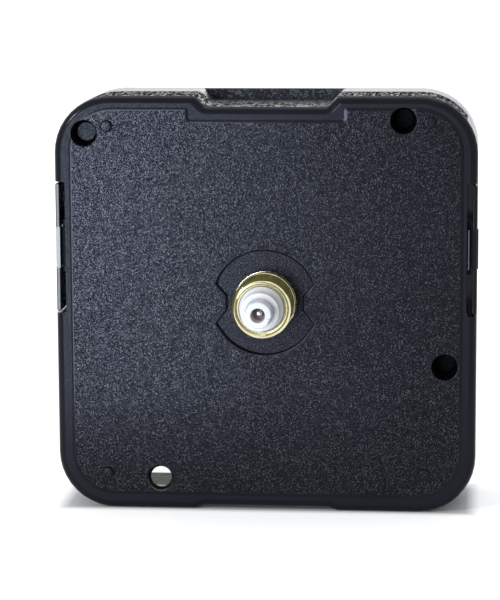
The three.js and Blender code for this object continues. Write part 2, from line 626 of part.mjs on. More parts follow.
// The pillars, posts and bosses that stand on the inside of the front wall. Each pillar has a shoulder
// that a plate rests on and a pin that goes through it.
function frontPosts() {
  const inWall = -FRONT_WALL / 2;
  const pillars = (places, radius, seat, pinRadius, last) =>
    places.map((at) => {
      const pin = rod(pinRadius, last - PILLAR_PIN_PROUD, inWall, at);
      return join(rod(radius, seat + SEAT_GAP, inWall, at), pin);
    });
  const motionSeat = rod(BOSS_RADIUS, HOUR_Z + LAYER_GAP, inWall, MOTION);
  const motionPin = rod(POST_PIN_RADIUS, POST_Z, inWall, MOTION);
  return join(
    ...pillars(BRIDGE_PILLARS, PILLAR_RADIUS, PLATE_Z, PILLAR_PIN_RADIUS, BRIDGE_BACK_Z),
    ...pillars([PILLAR_LEFT], PILLAR_RADIUS, PLATE_Z, PILLAR_PIN_RADIUS, PLATE_BACK_Z),
    ...pillars(ARM_ENDS, PILLAR_RADIUS, STATOR_Z, PILLAR_PIN_RADIUS, CORE_BACK_Z),
    ...pillars(BOARD_POSTS, BOARD_POST_RADIUS, BOARD_Z, BOARD_PIN_RADIUS, BOARD_BACK_Z),
    join(motionSeat, motionPin),
    bearingBoss(THIRD, POST_Z, PIVOT_RADIUS),
    bearingBoss(SETTING, CANNON_Z + LAYER_GAP, STEM_PIVOT_RADIUS),
  );
}

// A boss on the inside of the front wall with a blind bearing hole for a pivot.
function bearingBoss(at, end, pivotRadius) {
  const boss = rod(pivotRadius + RUN_GAP + BOSS_WALL, end, -FRONT_WALL / 2, at);
  return cut(boss, rod(pivotRadius + RUN_GAP, end - CUT_OVERRUN, end + PIVOT_LENGTH + SEAT_GAP, at));
}

// What is cut from the front housing's side for a latch of the rear cover, and the catch in it.
function latchSocket(side) {
  const length = LATCH_LENGTH / 2 + LATCH_END_GAP;
  const outer = HALF_WIDTH + CUT_OVERRUN;
  const bottom = LATCH_RISE - length;
  const top = LATCH_RISE + length;
  return sideBox(side, LATCH_WALL_X, outer, bottom, top, -PARTING_DEPTH - CUT_OVERRUN, CUT_OVERRUN);
}

function catchBlock(side) {
  const half = CATCH_LENGTH / 2;
  const front = -LATCH_TIP_DEPTH - LATCH_BAR - CATCH_GAP;
  const inside = LATCH_WALL_X - LATCH_WALL / 2;
  const block = (outer, back, near) =>
    sideBox(side, inside, outer, LATCH_RISE - half, LATCH_RISE + half, back, near);
  const step = CATCH_DEPTH / CATCH_STEPS;
  return join(
    ...Array.from({ length: CATCH_STEPS }, (_, i) => {
      const reach = (HALF_WIDTH + LATCH_PROUD - LATCH_WALL_X) * (1 - i / CATCH_STEPS);
      return block(LATCH_WALL_X + reach, front - (i + 1) * step, front);
    }),
  );
}

function sideBox(side, near, far, bottom, top, back, front) {
  return box(Math.min(side * near, side * far), Math.max(side * near, side * far), bottom, top, back, front);
}

function frontHousing() {
  const shell = caseBlock(-PARTING_DEPTH, BORDER_Z, EDGE_RADIUS, true, true);
  const reach = CHAMBER_HALF_WIDTH;
  const openBack = -PARTING_DEPTH - CUT_OVERRUN;
  const chamber = cavity(WALL, true, -reach, reach, PARTITION_TOP, CASE_TOP, openBack, -FRONT_WALL);
  const hollow = cut(shell, chamber, bayCavity(openBack, BAY_FLOOR_Z), latchSocket(-1), latchSocket(1));
  const holes = [
    blindHole(HOLE_TOP_LEFT, HOLE_BLIND_DEPTH),
    blindHole(HOLE_TOP_RIGHT, HOLE_DEEP_DEPTH),
    blindHole(HOLE_RIGHT, HOLE_DEEP_DEPTH),
  ];
  const bosses = holes.map((hole) => hole.boss);
  const whole = join(hollow, panelShape(), ...bosses, frontPosts(), catchBlock(-1), catchBlock(1));
  const neck = rod(THREAD_RADIUS + SEAT_GAP, -FRONT_WALL - CUT_OVERRUN, CUT_OVERRUN, SHAFT, ROUND_SIDES);
  const through = taperedHole(HOLE_BOTTOM_LEFT, BAY_FLOOR_Z - CUT_OVERRUN);
  const openings = holes.map((hole) => hole.opening);
  return join(cut(whole, panelRecess(), neck, through, ...openings), ...pips());
}

// One latch: a flat loop that reaches forward from the rear cover, with a window for the catch.
function latch(side) {
  const outer = HALF_WIDTH + LATCH_PROUD;
  const inner = outer - LATCH_THICKNESS;
  const half = LATCH_LENGTH / 2;
  const front = -LATCH_TIP_DEPTH;
  const root = -PARTING_DEPTH - LATCH_ROOT;
  const arm = sideBox(side, inner, outer, LATCH_RISE - half, LATCH_RISE + half, root, front);
  const open = CATCH_LENGTH / 2 + LATCH_WINDOW_ROOM;
  const window = sideBox(
    side,
    inner - LATCH_THICKNESS,
    outer + LATCH_THICKNESS,
    LATCH_RISE - open,
    LATCH_RISE + open,
    -PARTING_DEPTH,
    front - LATCH_BAR,
  );
  return { arm, window };
}

// The notch of the case's top edge, as a body to cut with.
function notchCut(back, front) {
  const mouth = NOTCH_MOUTH_WIDTH / 2;
  const floor = NOTCH_FLOOR_WIDTH / 2;
  const corners = [
    { x: -mouth, y: CASE_TOP + CUT_OVERRUN },
    { x: -mouth, y: CASE_TOP },
    { x: -floor, y: CASE_TOP - NOTCH_DROP },
    { x: floor, y: CASE_TOP - NOTCH_DROP },
    { x: mouth, y: CASE_TOP },
    { x: mouth, y: CASE_TOP + CUT_OVERRUN },
  ];
  return slab(shapeOf(corners.map((p) => ({ x: p.x + NOTCH_SHIFT, y: p.y }))), back, front);
}

function rearCover() {
  const front = -PARTING_DEPTH - PARTING_GAP;
  const reach = BAY_LENGTH / 2;
  const openFront = front + CUT_OVERRUN;
  const whole = caseBlock(CASE_BACK_Z, front, REAR_EDGE_RADIUS, false, false);
  const shell = cut(whole, notchCut(REAR_INSIDE_Z, openFront));
  const chamber = cavity(WALL, true, -reach, reach, PARTITION_TOP, CASE_TOP, REAR_INSIDE_Z, openFront);
  const bay = bayCavity(CASE_BACK_Z - CUT_OVERRUN, openFront);
  const latches = [-1, 1].map(latch);
  const inWall = REAR_INSIDE_Z - REAR_WALL / 2;
  const pocketBoss = rod(POCKET_RADIUS + WALL, inWall, POCKET_Z + POCKET_FLOOR, SETTING, ROUND_SIDES);
  const pocket = rod(POCKET_RADIUS, CASE_BACK_Z - CUT_OVERRUN, POCKET_Z, SETTING, ROUND_SIDES);
  const stemHole = rod(STEM_RADIUS + RUN_GAP, CASE_BACK_Z, POCKET_Z + 2 * POCKET_FLOOR, SETTING);
  const slotLeft = TOP_SLOT_INSET - HALF_WIDTH;
  const topSlot = box(
    slotLeft,
    slotLeft + TOP_SLOT_WIDTH,
    CASE_TOP - TOP_SLOT_DROP,
    CASE_TOP + CUT_OVERRUN,
    CASE_BACK_Z - CUT_OVERRUN,
    CASE_BACK_Z + TOP_SLOT_DEPTH,
  );
  const hollow = join(cut(shell, chamber, bay), pocketBoss, ...latches.map((one) => one.arm));
  const windows = latches.map((one) => one.window);
  return cut(hollow, pocket, stemHole, topSlot, stripSlot(-1), stripSlot(1), ...windows);
}

// The slot in the partition that lets a contact strip through.
function stripSlot(side) {
  const wall = BAY_LENGTH / 2;
  const near = wall - CONTACT_GAP - 2 * STRIP_THICKNESS - SIDE_GAP;
  const bottom = PARTITION_BOTTOM - CUT_OVERRUN;
  const top = PARTITION_TOP + CUT_OVERRUN;
  return sideBox(side, near, wall, bottom, top, REAR_INSIDE_Z, STRIP_Z + SIDE_GAP);
}

// The brass bushing: a flange inside the case, a collar and a thread outside it.
function threadedBushing() {
  const flangeZ = -FRONT_WALL - SEAT_GAP;
  const end = RECESS_Z + THREAD_LENGTH;
  const root = THREAD_RADIUS - THREAD_DEPTH;
  const outline = [
    [BUSHING_BORE_RADIUS, flangeZ - BUSHING_FLANGE],
    [BUSHING_FLANGE_RADIUS, flangeZ - BUSHING_FLANGE],
    [BUSHING_FLANGE_RADIUS, flangeZ],
    [THREAD_RADIUS, flangeZ],
  ];
  const start = RECESS_Z + BUSHING_COLLAR;
  const turns = Math.floor((end - BUSHING_END_CHAMFER - start) / THREAD_PITCH);
  for (let i = 0; i < turns; i += 1) {
    const z = start + i * THREAD_PITCH;
    outline.push([THREAD_RADIUS, z], [root, z + THREAD_PITCH * THREAD_FLANK_SHARE]);
  }
  outline.push([THREAD_RADIUS, start + turns * THREAD_PITCH], [THREAD_RADIUS - BUSHING_END_CHAMFER, end]);
  outline.push([BUSHING_MOUTH_RADIUS, end], [BUSHING_BORE_RADIUS, end - BUSHING_MOUTH_DEPTH]);
  return turned(outline);
}

// Phases of the gears, so that every tooth stands in a gap of the gear that it meshes with.
const motionPhase = meshPhase(0, CANNON_TEETH, SHAFT, MOTION_TEETH, MOTION);
const settingPhase = meshPhase(motionPhase, MOTION_TEETH, MOTION, SETTING_TEETH, SETTING);
const hourPhase = meshPhase(0, MOTION_PINION_TEETH, MOTION, HOUR_TEETH, SHAFT);
const thirdPinionPhase = meshPhase(0, CENTER_TEETH, SHAFT, THIRD_PINION_TEETH, THIRD);
const secondsPinionPhase = meshPhase(0, THIRD_TEETH, THIRD, SECONDS_PINION_TEETH, SHAFT);
const midPinionPhase = meshPhase(0, SECONDS_TEETH, SHAFT, MID_PINION_TEETH, MID);
const rotorPhase = meshPhase(0, MID_TEETH, MID, ROTOR_TEETH, ROTOR);

function wheel(teeth, module, phase, front) {
  return slab(gearOutline(teeth, module, false, phase), front - GEAR_THICKNESS, front);
}

function pinion(teeth, module, phase, back, front) {
  return slab(gearOutline(teeth, module, true, phase), back, front);
}

function hourWheel() {
  const back = HOUR_Z - GEAR_THICKNESS;
  const end = RECESS_Z + HOUR_TUBE_REACH;
  const seat = end - HOUR_SEAT_LENGTH;
  const tube = turned([
    [HOUR_BORE_RADIUS, back],
    [HOUR_TUBE_RADIUS, back],
    [HOUR_TUBE_RADIUS, seat - HOUR_SHOULDER],
    [HOUR_SEAT_RADIUS, seat],
    [HOUR_SEAT_RADIUS, end - TIP_CHAMFER],
    [HOUR_SEAT_RADIUS - TIP_CHAMFER, end],
    [HOUR_BORE_RADIUS, end],
  ]);
  const toothed = wheel(HOUR_TEETH, MOTION_MODULE, hourPhase, HOUR_Z);
  const inTube = (HOUR_TUBE_RADIUS + HOUR_BORE_RADIUS) / 2;
  const bore = rod(inTube, back - CUT_OVERRUN, HOUR_Z + CUT_OVERRUN, SHAFT, ROUND_SIDES);
  return join(tube, cut(toothed, bore));
}

function minutePost() {
  const end = RECESS_Z + MINUTE_POST_REACH;
  const neckEnd = HOUR_Z - GEAR_THICKNESS;
  const foot = PLATE_Z + LAYER_GAP;
  const cannonBack = CANNON_Z - GEAR_THICKNESS;
  const post = turned([
    [MINUTE_BORE_RADIUS, foot],
    [MINUTE_HUB_RADIUS, foot],
    [MINUTE_HUB_RADIUS, (cannonBack + CANNON_Z) / 2],
    [MINUTE_NECK_RADIUS, (cannonBack + CANNON_Z) / 2],
    [MINUTE_NECK_RADIUS, neckEnd],
    [MINUTE_POST_RADIUS, neckEnd],
    [MINUTE_POST_RADIUS, end - TIP_CHAMFER],
    [MINUTE_POST_RADIUS - TIP_CHAMFER, end],
    [MINUTE_MOUTH_RADIUS, end],
    [MINUTE_BORE_RADIUS, end - MINUTE_MOUTH_DEPTH],
  ]);
  const toothed = pinion(CANNON_TEETH, CANNON_MODULE, 0, cannonBack, CANNON_Z);
  const inPost = MINUTE_NECK_RADIUS - MINUTE_BORE_RADIUS;
  const bore = rod(inPost, cannonBack - CUT_OVERRUN, CANNON_Z + CUT_OVERRUN);
  const body = join(post, cut(toothed, bore));
  const flats = [-1, 1].map((side) => {
    const near = (side * MINUTE_ACROSS_FLATS) / 2;
    const far = side * 2 * MINUTE_POST_RADIUS;
    const width = 2 * MINUTE_POST_RADIUS;
    const start = end - MINUTE_FLAT_LENGTH;
    const block = box(Math.min(near, far), Math.max(near, far), -width, width, start, end + CUT_OVERRUN);
    return block.rotate([0, 0, MINUTE_FLAT_ANGLE]);
  });
  return cut(body, ...flats);
}

function centerWheel() {
  const toothed = wheel(CENTER_TEETH, CENTER_MODULE, 0, CENTER_Z);
  const radius = MINUTE_HUB_RADIUS + RUN_GAP;
  return cut(toothed, rod(radius, PLATE_Z, CANNON_Z, SHAFT, ROUND_SIDES));
}

function motionWheel() {
  const front = HOUR_Z;
  const toothed = wheel(MOTION_TEETH, CANNON_MODULE, motionPhase, CANNON_Z);
  const small = pinion(MOTION_PINION_TEETH, MOTION_MODULE, 0, CANNON_Z - GEAR_THICKNESS, front);
  const bore = rod(POST_PIN_RADIUS + RUN_GAP, CENTER_Z, front + CUT_OVERRUN);
  return cut(join(toothed, small), bore);
}

// An arbor with a thinner pivot at each end, between the z values of its two bearings.
function arbor(back, front) {
  return join(rod(ARBOR_RADIUS, back, front), rod(PIVOT_RADIUS, back - PIVOT_LENGTH, front + PIVOT_LENGTH));
}

const REAR_BEARING_Z = BRIDGE_Z + RUN_GAP;

function thirdWheel() {
  const back = CENTER_Z - GEAR_THICKNESS;
  const small = pinion(THIRD_PINION_TEETH, CENTER_MODULE, thirdPinionPhase, back, CENTER_Z);
  const large = wheel(THIRD_TEETH, THIRD_MODULE, 0, THIRD_Z);
  return join(small, large, arbor(REAR_BEARING_Z, POST_Z - RUN_GAP));
}

function secondsWheel() {
  const large = wheel(SECONDS_TEETH, SECONDS_MODULE, 0, SECONDS_Z);
  const back = SECONDS_Z - GEAR_THICKNESS;
  const small = pinion(SECONDS_PINION_TEETH, THIRD_MODULE, secondsPinionPhase, back, THIRD_Z);
  const bore = rod(SECONDS_PIN_RADIUS + PRESS_GAP, back - CUT_OVERRUN, THIRD_Z + CUT_OVERRUN);
  return cut(join(large, small), bore);
}

function secondsShaft() {
  const tip = RECESS_Z + MINUTE_POST_REACH - SECONDS_PIN_DROP;
  const back = BRIDGE_Z - PIVOT_LENGTH;
  const tipRadius = SECONDS_PIN_RADIUS - TIP_CHAMFER;
  const end = rod(SECONDS_PIN_RADIUS, tip - TIP_CHAMFER, tip, SHAFT, SMALL_SIDES, tipRadius);
  return join(rod(SECONDS_PIN_RADIUS, back, tip - TIP_CHAMFER), end);
}

function midWheel() {
  const large = wheel(MID_TEETH, ROTOR_MODULE, 0, MID_Z);
  const back = MID_Z - GEAR_THICKNESS;
  const small = pinion(MID_PINION_TEETH, SECONDS_MODULE, midPinionPhase, back, SECONDS_Z);
  return join(large, small, arbor(REAR_BEARING_Z, PLATE_BACK_Z - RUN_GAP));
}

function rotorPinion() {
  const small = pinion(ROTOR_TEETH, ROTOR_MODULE, rotorPhase, MID_Z - GEAR_THICKNESS, MID_Z);
  return join(small, arbor(REAR_BEARING_Z, PLATE_BACK_Z - RUN_GAP));
}

function rotorMagnet() {
  const back = MID_Z + LAYER_GAP;
  const bore = ARBOR_RADIUS + PRESS_GAP;
  return turned([
    [bore, back],
    [MAGNET_RADIUS, back],
    [MAGNET_RADIUS, back + MAGNET_LENGTH],
    [bore, back + MAGNET_LENGTH],
  ], ROUND_SIDES);
}

function bearingHole(at, radius) {
  return rod(radius + RUN_GAP, CASE_BACK_Z, 0, at);
}

function trainPlate() {
  const rims = [PILLAR_LEFT, ...BRIDGE_PILLARS, THIRD, SETTING].map((at) => ({ ...at, radius: PLATE_RIM }));
  const plate = slab(hullOutline(rims), PLATE_BACK_Z, PLATE_Z);
  const inPlate = PLATE_BACK_Z + PLATE_THICKNESS / 2;
  const spacers = BRIDGE_PILLARS.map((at) => rod(PILLAR_RADIUS, BRIDGE_Z + SEAT_GAP, inPlate, at));
  const holes = [
    ...[PILLAR_LEFT, ...BRIDGE_PILLARS].map((at) => bearingHole(at, PILLAR_PIN_RADIUS)),
    bearingHole(SHAFT, SECONDS_PIN_RADIUS),
    bearingHole(THIRD, ARBOR_RADIUS),
    bearingHole(MID, PIVOT_RADIUS),
    bearingHole(ROTOR, PIVOT_RADIUS),
    bearingHole(SETTING, STEM_RADIUS),
  ];
  return cut(join(plate, ...spacers), ...holes);
}

function trainBridge() {
  const rims = [...BRIDGE_PILLARS, THIRD, ROTOR].map((at) => ({ ...at, radius: PLATE_RIM }));
  const plate = slab(hullOutline(rims), BRIDGE_BACK_Z, BRIDGE_Z);
  const holes = [
    ...BRIDGE_PILLARS.map((at) => bearingHole(at, PILLAR_PIN_RADIUS)),
    bearingHole(SHAFT, SECONDS_PIN_RADIUS),
    ...[THIRD, MID, ROTOR].map((at) => bearingHole(at, PIVOT_RADIUS)),
  ];
  return cut(plate, ...holes);
}

function stator() {
  const ring = { ...ROTOR, radius: MAGNET_RADIUS + AIR_GAP + STATOR_RIM };
  const disc = rod(ring.radius, STATOR_BACK_Z, STATOR_Z, ROTOR, ROUND_SIDES);
  const arms = [-1, 1].flatMap((side) => {
    const at = (x, y) => ({ x: ROTOR.x + side * x, y: ROTOR.y + y, radius: STATOR_ARM_RADIUS });
    const bend = at(ARM_SPREAD, ARM_BEND_RISE);
    const pairs = [[at(ARM_ROOT, 0), bend], [bend, at(ARM_SPREAD, COIL_RISE)]];
    return pairs.map((pair) => slab(hullOutline(pair), STATOR_BACK_Z, STATOR_Z));
  });
  const hole = rod(MAGNET_RADIUS + AIR_GAP, CASE_BACK_Z, 0, ROTOR, ROUND_SIDES);
  return cut(join(disc, ...arms), hole, ...ARM_ENDS.map((at) => bearingHole(at, PILLAR_PIN_RADIUS)));
}

function coilCore() {
  const end = ARM_SPREAD + CORE_END;
  const pads = ARM_ENDS.map((at) => rod(CORE_END, CORE_BACK_Z, CORE_Z, at));
  const half = CORE_WIDTH / 2;
  const across = (reach, rise) =>
    box(COIL.x - reach, COIL.x + reach, COIL.y - rise, COIL.y + rise, CORE_BACK_Z, CORE_Z);
  const bar = across(ARM_SPREAD, half);
  const clip = across(end, CORE_END);
  const holes = ARM_ENDS.map((at) => bearingHole(at, PILLAR_PIN_RADIUS));
  return cut(join(bar, ...pads).intersect(clip), ...holes);
}

// Turns a body of revolution about z so that its axis lies along x at the coil's place.
function alongCoil(body) {
  return body.rotate([0, 90, 0]).translate([COIL.x, COIL.y, COIL_Z]);
}

const BOBBIN_TUBE_RADIUS = Math.hypot(CORE_WIDTH, CORE_THICKNESS) / 2 + RUN_GAP + BOBBIN_TUBE_WALL;

function coilBobbin() {
  const half = BOBBIN_LENGTH / 2;
  const side = BOBBIN_WIDTH / 2;
  const flange = (back) => box(-side, side, -side, side, back, back + BOBBIN_FLANGE);
  const tube = rod(BOBBIN_TUBE_RADIUS, -half, half, SHAFT, ROUND_SIDES);
  const whole = alongCoil(join(tube, flange(-half), flange(half - BOBBIN_FLANGE)));
  const halfWidth = CORE_WIDTH / 2 + RUN_GAP;
  const room = box(
    COIL.x - BOBBIN_LENGTH,
    COIL.x + BOBBIN_LENGTH,
    COIL.y - halfWidth,
    COIL.y + halfWidth,
    CORE_BACK_Z - RUN_GAP,
    CORE_Z + RUN_GAP,
  );
  return cut(whole, room);
}

function coilWinding() {
  const half = BOBBIN_LENGTH / 2 - BOBBIN_FLANGE - PRESS_GAP;
  const inner = BOBBIN_TUBE_RADIUS + PRESS_GAP;
  const ring = turned([
    [inner, -half],
    [WINDING_RADIUS, -half],
    [WINDING_RADIUS, half],
    [inner, half],
  ]);
  return alongCoil(ring);
}

function circuitBoard() {
  const board = box(BOARD_LEFT, BOARD_RIGHT, BOARD_BOTTOM, BOARD_TOP, BOARD_BACK_Z, BOARD_Z);
  return cut(board, ...BOARD_POSTS.map((at) => bearingHole(at, BOARD_PIN_RADIUS)));
}

function quartzCrystal() {
  const can = rod(CRYSTAL_RADIUS, 0, CRYSTAL_LENGTH, SHAFT, ROUND_SIDES);
  const neck = rod(CRYSTAL_RADIUS - CRYSTAL_STEP, -CRYSTAL_STEP, CRYSTAL_STEP, SHAFT, ROUND_SIDES);
  const x = BOARD_LEFT + BOARD_INSET;
  const y = BOARD_BOTTOM + BOARD_INSET + CRYSTAL_RADIUS;
  return join(can, neck).rotate([0, 90, 0]).translate([x, y, BOARD_Z + SEAT_GAP + CRYSTAL_RADIUS]);
}

// The drop of black epoxy over the timing chip.
function timingChip() {
  const x = BOARD_RIGHT - BOARD_INSET - CHIP_RADIUS;
  const y = BOARD_BOTTOM + BOARD_INSET + CHIP_RADIUS;
  const bottom = BOARD_Z + SEAT_GAP;
  const ball = new THREE.SphereGeometry(CHIP_RADIUS, 2 * SMALL_SIDES, SMALL_SIDES);
  ball.scale(1, 1, CHIP_HEIGHT / CHIP_RADIUS);
  const room = box(-CHIP_RADIUS, CHIP_RADIUS, -CHIP_RADIUS, CHIP_RADIUS, 0, 2 * CHIP_HEIGHT);
  return solid(ball).intersect(room).translate([x, y, bottom]);
}

// The upright plate of a contact at one end of the bay, on the side given by its sign.
const CONTACT_X = BAY_LENGTH / 2 - CONTACT_GAP;
const CONTACT_TOP = CELL_Y + CONTACT_HEIGHT / 2;

function contactPlate(side) {
  const bottom = CELL_Y - CONTACT_HEIGHT / 2;
  const back = STRIP_BACK_Z;
  const inner = CONTACT_X - STRIP_THICKNESS;
  return sideBox(side, inner, CONTACT_X, bottom, CONTACT_TOP, back, back + CONTACT_WIDTH);
}

// The positive contact has a dimple for the cell's tip and a strip up the right wall to the board.
function positiveContact() {
  const middle = CONTACT_X - STRIP_THICKNESS / 2;
  const strip = stripOutline(
    [
      { x: middle, y: CONTACT_TOP - STRIP_WIDTH },
      { x: middle, y: PARTITION_TOP + SIDE_GAP },
      { x: BOARD_RIGHT - BOARD_INSET, y: BOARD_BOTTOM - SIDE_GAP },
      { x: BOARD_RIGHT - BOARD_INSET, y: BOARD_BOTTOM + BOARD_HEIGHT / 2 },
    ],
    STRIP_THICKNESS,
  );
  const dimple = rod(DIMPLE_TIP_RADIUS, 0, DIMPLE_REACH, SHAFT, SMALL_SIDES, DIMPLE_RADIUS)
    .rotate([0, 90, 0])
    .translate([CONTACT_X - STRIP_THICKNESS / 2 - DIMPLE_REACH, CELL_Y, CELL_Z]);
  return join(contactPlate(1), dimple, slab(strip, STRIP_BACK_Z, STRIP_Z));
}

// The negative contact has a bowed leaf spring and a strip that runs along the partition.
function negativeContact() {
  const wall = CONTACT_X - STRIP_THICKNESS / 2;
  const leafLength = CONTACT_HEIGHT - STRIP_THICKNESS;
  const leafPoints = Array.from({ length: SPRING_STEPS + 1 }, (_, i) => {
    const share = i / SPRING_STEPS;
    const bow = Math.sin(Math.PI * share) * SPRING_REACH + share * SPRING_FREE_GAP;
    return { x: -wall + bow, y: CONTACT_TOP - STRIP_THICKNESS / 2 - share * leafLength };
  });
  const half = SPRING_WIDTH / 2;
  const leaf = slab(stripOutline(leafPoints, STRIP_THICKNESS), CELL_Z - half, CELL_Z + half);
  const run = PARTITION_TOP + SIDE_GAP + STRIP_THICKNESS;
  const strip = stripOutline(
    [
      { x: -wall, y: CONTACT_TOP - STRIP_WIDTH },
      { x: -wall, y: run },
      { x: SHAFT.x, y: run },
      { x: BOARD_LEFT + BOARD_INSET, y: run + BOARD_INSET },
      { x: BOARD_LEFT + BOARD_INSET, y: BOARD_BOTTOM + BOARD_INSET },
    ],
    STRIP_THICKNESS,
  );
  return join(contactPlate(-1), leaf, slab(strip, STRIP_BACK_Z, STRIP_Z));
}

const STEM_END_Z = CASE_BACK_Z - KNOB_PROUD + KNOB_DISH_DEPTH + STEM_CAP;

function settingStem() {
  const front = CANNON_Z;
  const small = pinion(SETTING_TEETH, CANNON_MODULE, settingPhase, front - GEAR_THICKNESS, front);
  const bearing = front + LAYER_GAP;
  const pivot = rod(STEM_PIVOT_RADIUS, front - GEAR_THICKNESS, bearing + PIVOT_LENGTH);
  const shaft = rod(STEM_RADIUS, KNOB_Z + SEAT_GAP, front - GEAR_THICKNESS / 2);
  const tail = rod(STEM_PIVOT_RADIUS, STEM_END_Z, KNOB_Z + GEAR_THICKNESS);
  const half = STEM_PIVOT_RADIUS - STEM_FLAT;
  const flat = box(half, STEM_RADIUS, -STEM_RADIUS, STEM_RADIUS, STEM_END_Z - CUT_OVERRUN, KNOB_Z + SEAT_GAP);
  return join(small, pivot, shaft, cut(tail, flat));
}

function settingKnob() {
  const back = CASE_BACK_Z - KNOB_PROUD;
  const points = Array.from({ length: 4 * KNOB_RIDGES }, (_, i) => {
    const radius = i % 4 < 2 ? KNOB_RADIUS : KNOB_RADIUS - RIDGE_DEPTH;
    return along(radius, (2 * Math.PI * (i + (i % 2) * RIDGE_LEAN_SHARE)) / (4 * KNOB_RIDGES));
  });
  const disc = slab(shapeOf(points), back, KNOB_Z);
  const dish = rod(KNOB_RADIUS - KNOB_RIM, back - CUT_OVERRUN, back + KNOB_DISH_DEPTH, SHAFT, ROUND_SIDES);
  const halfBar = KNOB_BAR_WIDTH / 2;
  const reach = KNOB_RADIUS - KNOB_RIM / 2;
  const bar = box(-halfBar, halfBar, -reach, reach, back, back + KNOB_DISH_DEPTH + KNOB_BAR_HEIGHT);
  const bore = rod(STEM_PIVOT_RADIUS + PRESS_GAP, STEM_END_Z - SEAT_GAP, KNOB_Z + CUT_OVERRUN);
  return cut(join(cut(disc, dish), bar), bore);
}

const pieces = [
  piece("front_housing", frontHousing(), BLACK),
  piece("rear_cover", rearCover(), BLACK_GLOSS),
  piece("threaded_bushing", threadedBushing(), BRASS),
  piece("hour_wheel", hourWheel(), WHITE),
  piece("minute_post", minutePost(), WHITE),
  piece("motion_wheel", motionWheel(), WHITE, MOTION),
  piece("center_wheel", centerWheel(), NATURAL),
  piece("third_wheel", thirdWheel(), NATURAL, THIRD),
  piece("seconds_wheel", secondsWheel(), NATURAL),
  piece("seconds_shaft", secondsShaft(), STEEL),
  piece("intermediate_wheel", midWheel(), NATURAL, MID),
  piece("rotor_pinion", rotorPinion(), WHITE, ROTOR),
  piece("rotor_magnet", rotorMagnet(), MAGNET, ROTOR),
  piece("train_plate", trainPlate(), CLEAR_GREY),
  piece("train_bridge", trainBridge(), CLEAR_GREY),
  piece("stator", stator(), NICKEL),
  piece("coil_core", coilCore(), NICKEL),
  piece("coil_bobbin", coilBobbin(), NATURAL),
  piece("coil_winding", coilWinding(), COPPER),
  piece("circuit_board", circuitBoard(), BOARD),
  piece("quartz_crystal", quartzCrystal(), STEEL),
  piece("timing_chip", timingChip(), EPOXY),
  piece("positive_contact", positiveContact(), NICKEL),
  piece("negative_contact", negativeContact(), NICKEL),
  piece("setting_stem", settingStem(), WHITE, SETTING),
  piece("setting_knob", settingKnob(), BLACK, SETTING),
];

// The movement stands on its bottom edge with the dial side towards -y. Its origin is under the
// middle of its whole depth, from the knob at the back to the tip of the minute post.
const depthFront = RECESS_Z + MINUTE_POST_REACH;
const depthBack = CASE_BACK_Z - KNOB_PROUD;
const movement = new THREE.Group();
movement.add(...pieces);
movement.rotation.x = Math.PI / 2;
movement.position.set(0, (depthFront + depthBack) / 2, -CASE_BOTTOM);

export default movement;
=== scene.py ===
"""Looks of a quartz clock movement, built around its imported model.

Lengths in the piece classes are in millimetres in the dial frame: x to the right, y up, z out of the dial,
with the hand shafts at x = y = 0 and the panel that the dial rests on at z = 0. placed() turns them into
metres in the model's own frame.
"""
import logging
import math
from dataclasses import dataclass
from enum import Enum
from functools import cache
from typing import Callable, Iterable, Sequence

import bmesh
import bpy
import numpy as np
from mathutils import Matrix, Vector


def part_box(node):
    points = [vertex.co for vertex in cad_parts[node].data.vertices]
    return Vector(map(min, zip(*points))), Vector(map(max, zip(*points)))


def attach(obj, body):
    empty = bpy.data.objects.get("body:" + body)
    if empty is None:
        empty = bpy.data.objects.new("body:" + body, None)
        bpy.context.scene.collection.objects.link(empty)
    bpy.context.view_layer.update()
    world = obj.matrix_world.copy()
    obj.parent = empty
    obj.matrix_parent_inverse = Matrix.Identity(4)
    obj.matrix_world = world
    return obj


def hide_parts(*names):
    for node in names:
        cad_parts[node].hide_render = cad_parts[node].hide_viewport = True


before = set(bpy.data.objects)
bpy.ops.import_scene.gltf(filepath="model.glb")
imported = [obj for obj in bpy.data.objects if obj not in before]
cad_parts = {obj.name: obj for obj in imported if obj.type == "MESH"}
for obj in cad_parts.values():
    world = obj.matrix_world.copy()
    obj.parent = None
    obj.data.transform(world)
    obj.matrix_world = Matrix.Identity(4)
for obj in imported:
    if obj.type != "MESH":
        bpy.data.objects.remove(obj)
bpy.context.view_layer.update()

LOG = logging.getLogger("movement")

Point = tuple[float, float]
Point3 = tuple[float, float, float]
Inputs = dict[object, object]
Solid = bpy.types.Object

MM = 0.001
TURN = 2 * math.pi
MINUTE_REACH = 10.8  # how far the minute post stands out of the panel
KNOB_AT = (-13.543, 1.185)  # the axis of the setting knob
PIN_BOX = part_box("seconds_shaft")
SHAFT_Z = (PIN_BOX[0].z + PIN_BOX[1].z) / 2 / MM  # height of the hand shafts over the floor
PANEL_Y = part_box("minute_post")[0].y / MM + MINUTE_REACH  # where the panel lies along the model's y axis


def placed(x: float, y: float, z: float) -> Vector:
    """A dial-frame point in millimetres as a point of the model's frame in metres."""
    return Vector((x, PANEL_Y - z, y + SHAFT_Z)) * MM


def scaled(tint: Point3, factor: float) -> Point3:
    """A lighter or darker shade of a colour."""
    return tuple(v * factor for v in tint)


class Side(Enum):
    """Left or right side of the case, seen from the dial."""

    LEFT = -1
    RIGHT = 1

    def span(self, near: float, far: float) -> Point:
        """Two x values on this side, the lower one first."""
        return tuple(sorted((self.value * near, self.value * far)))


class Carve(Enum):
    """How one solid changes another."""

    CUT = "DIFFERENCE"
    JOIN = "UNION"
    KEEP = "INTERSECT"


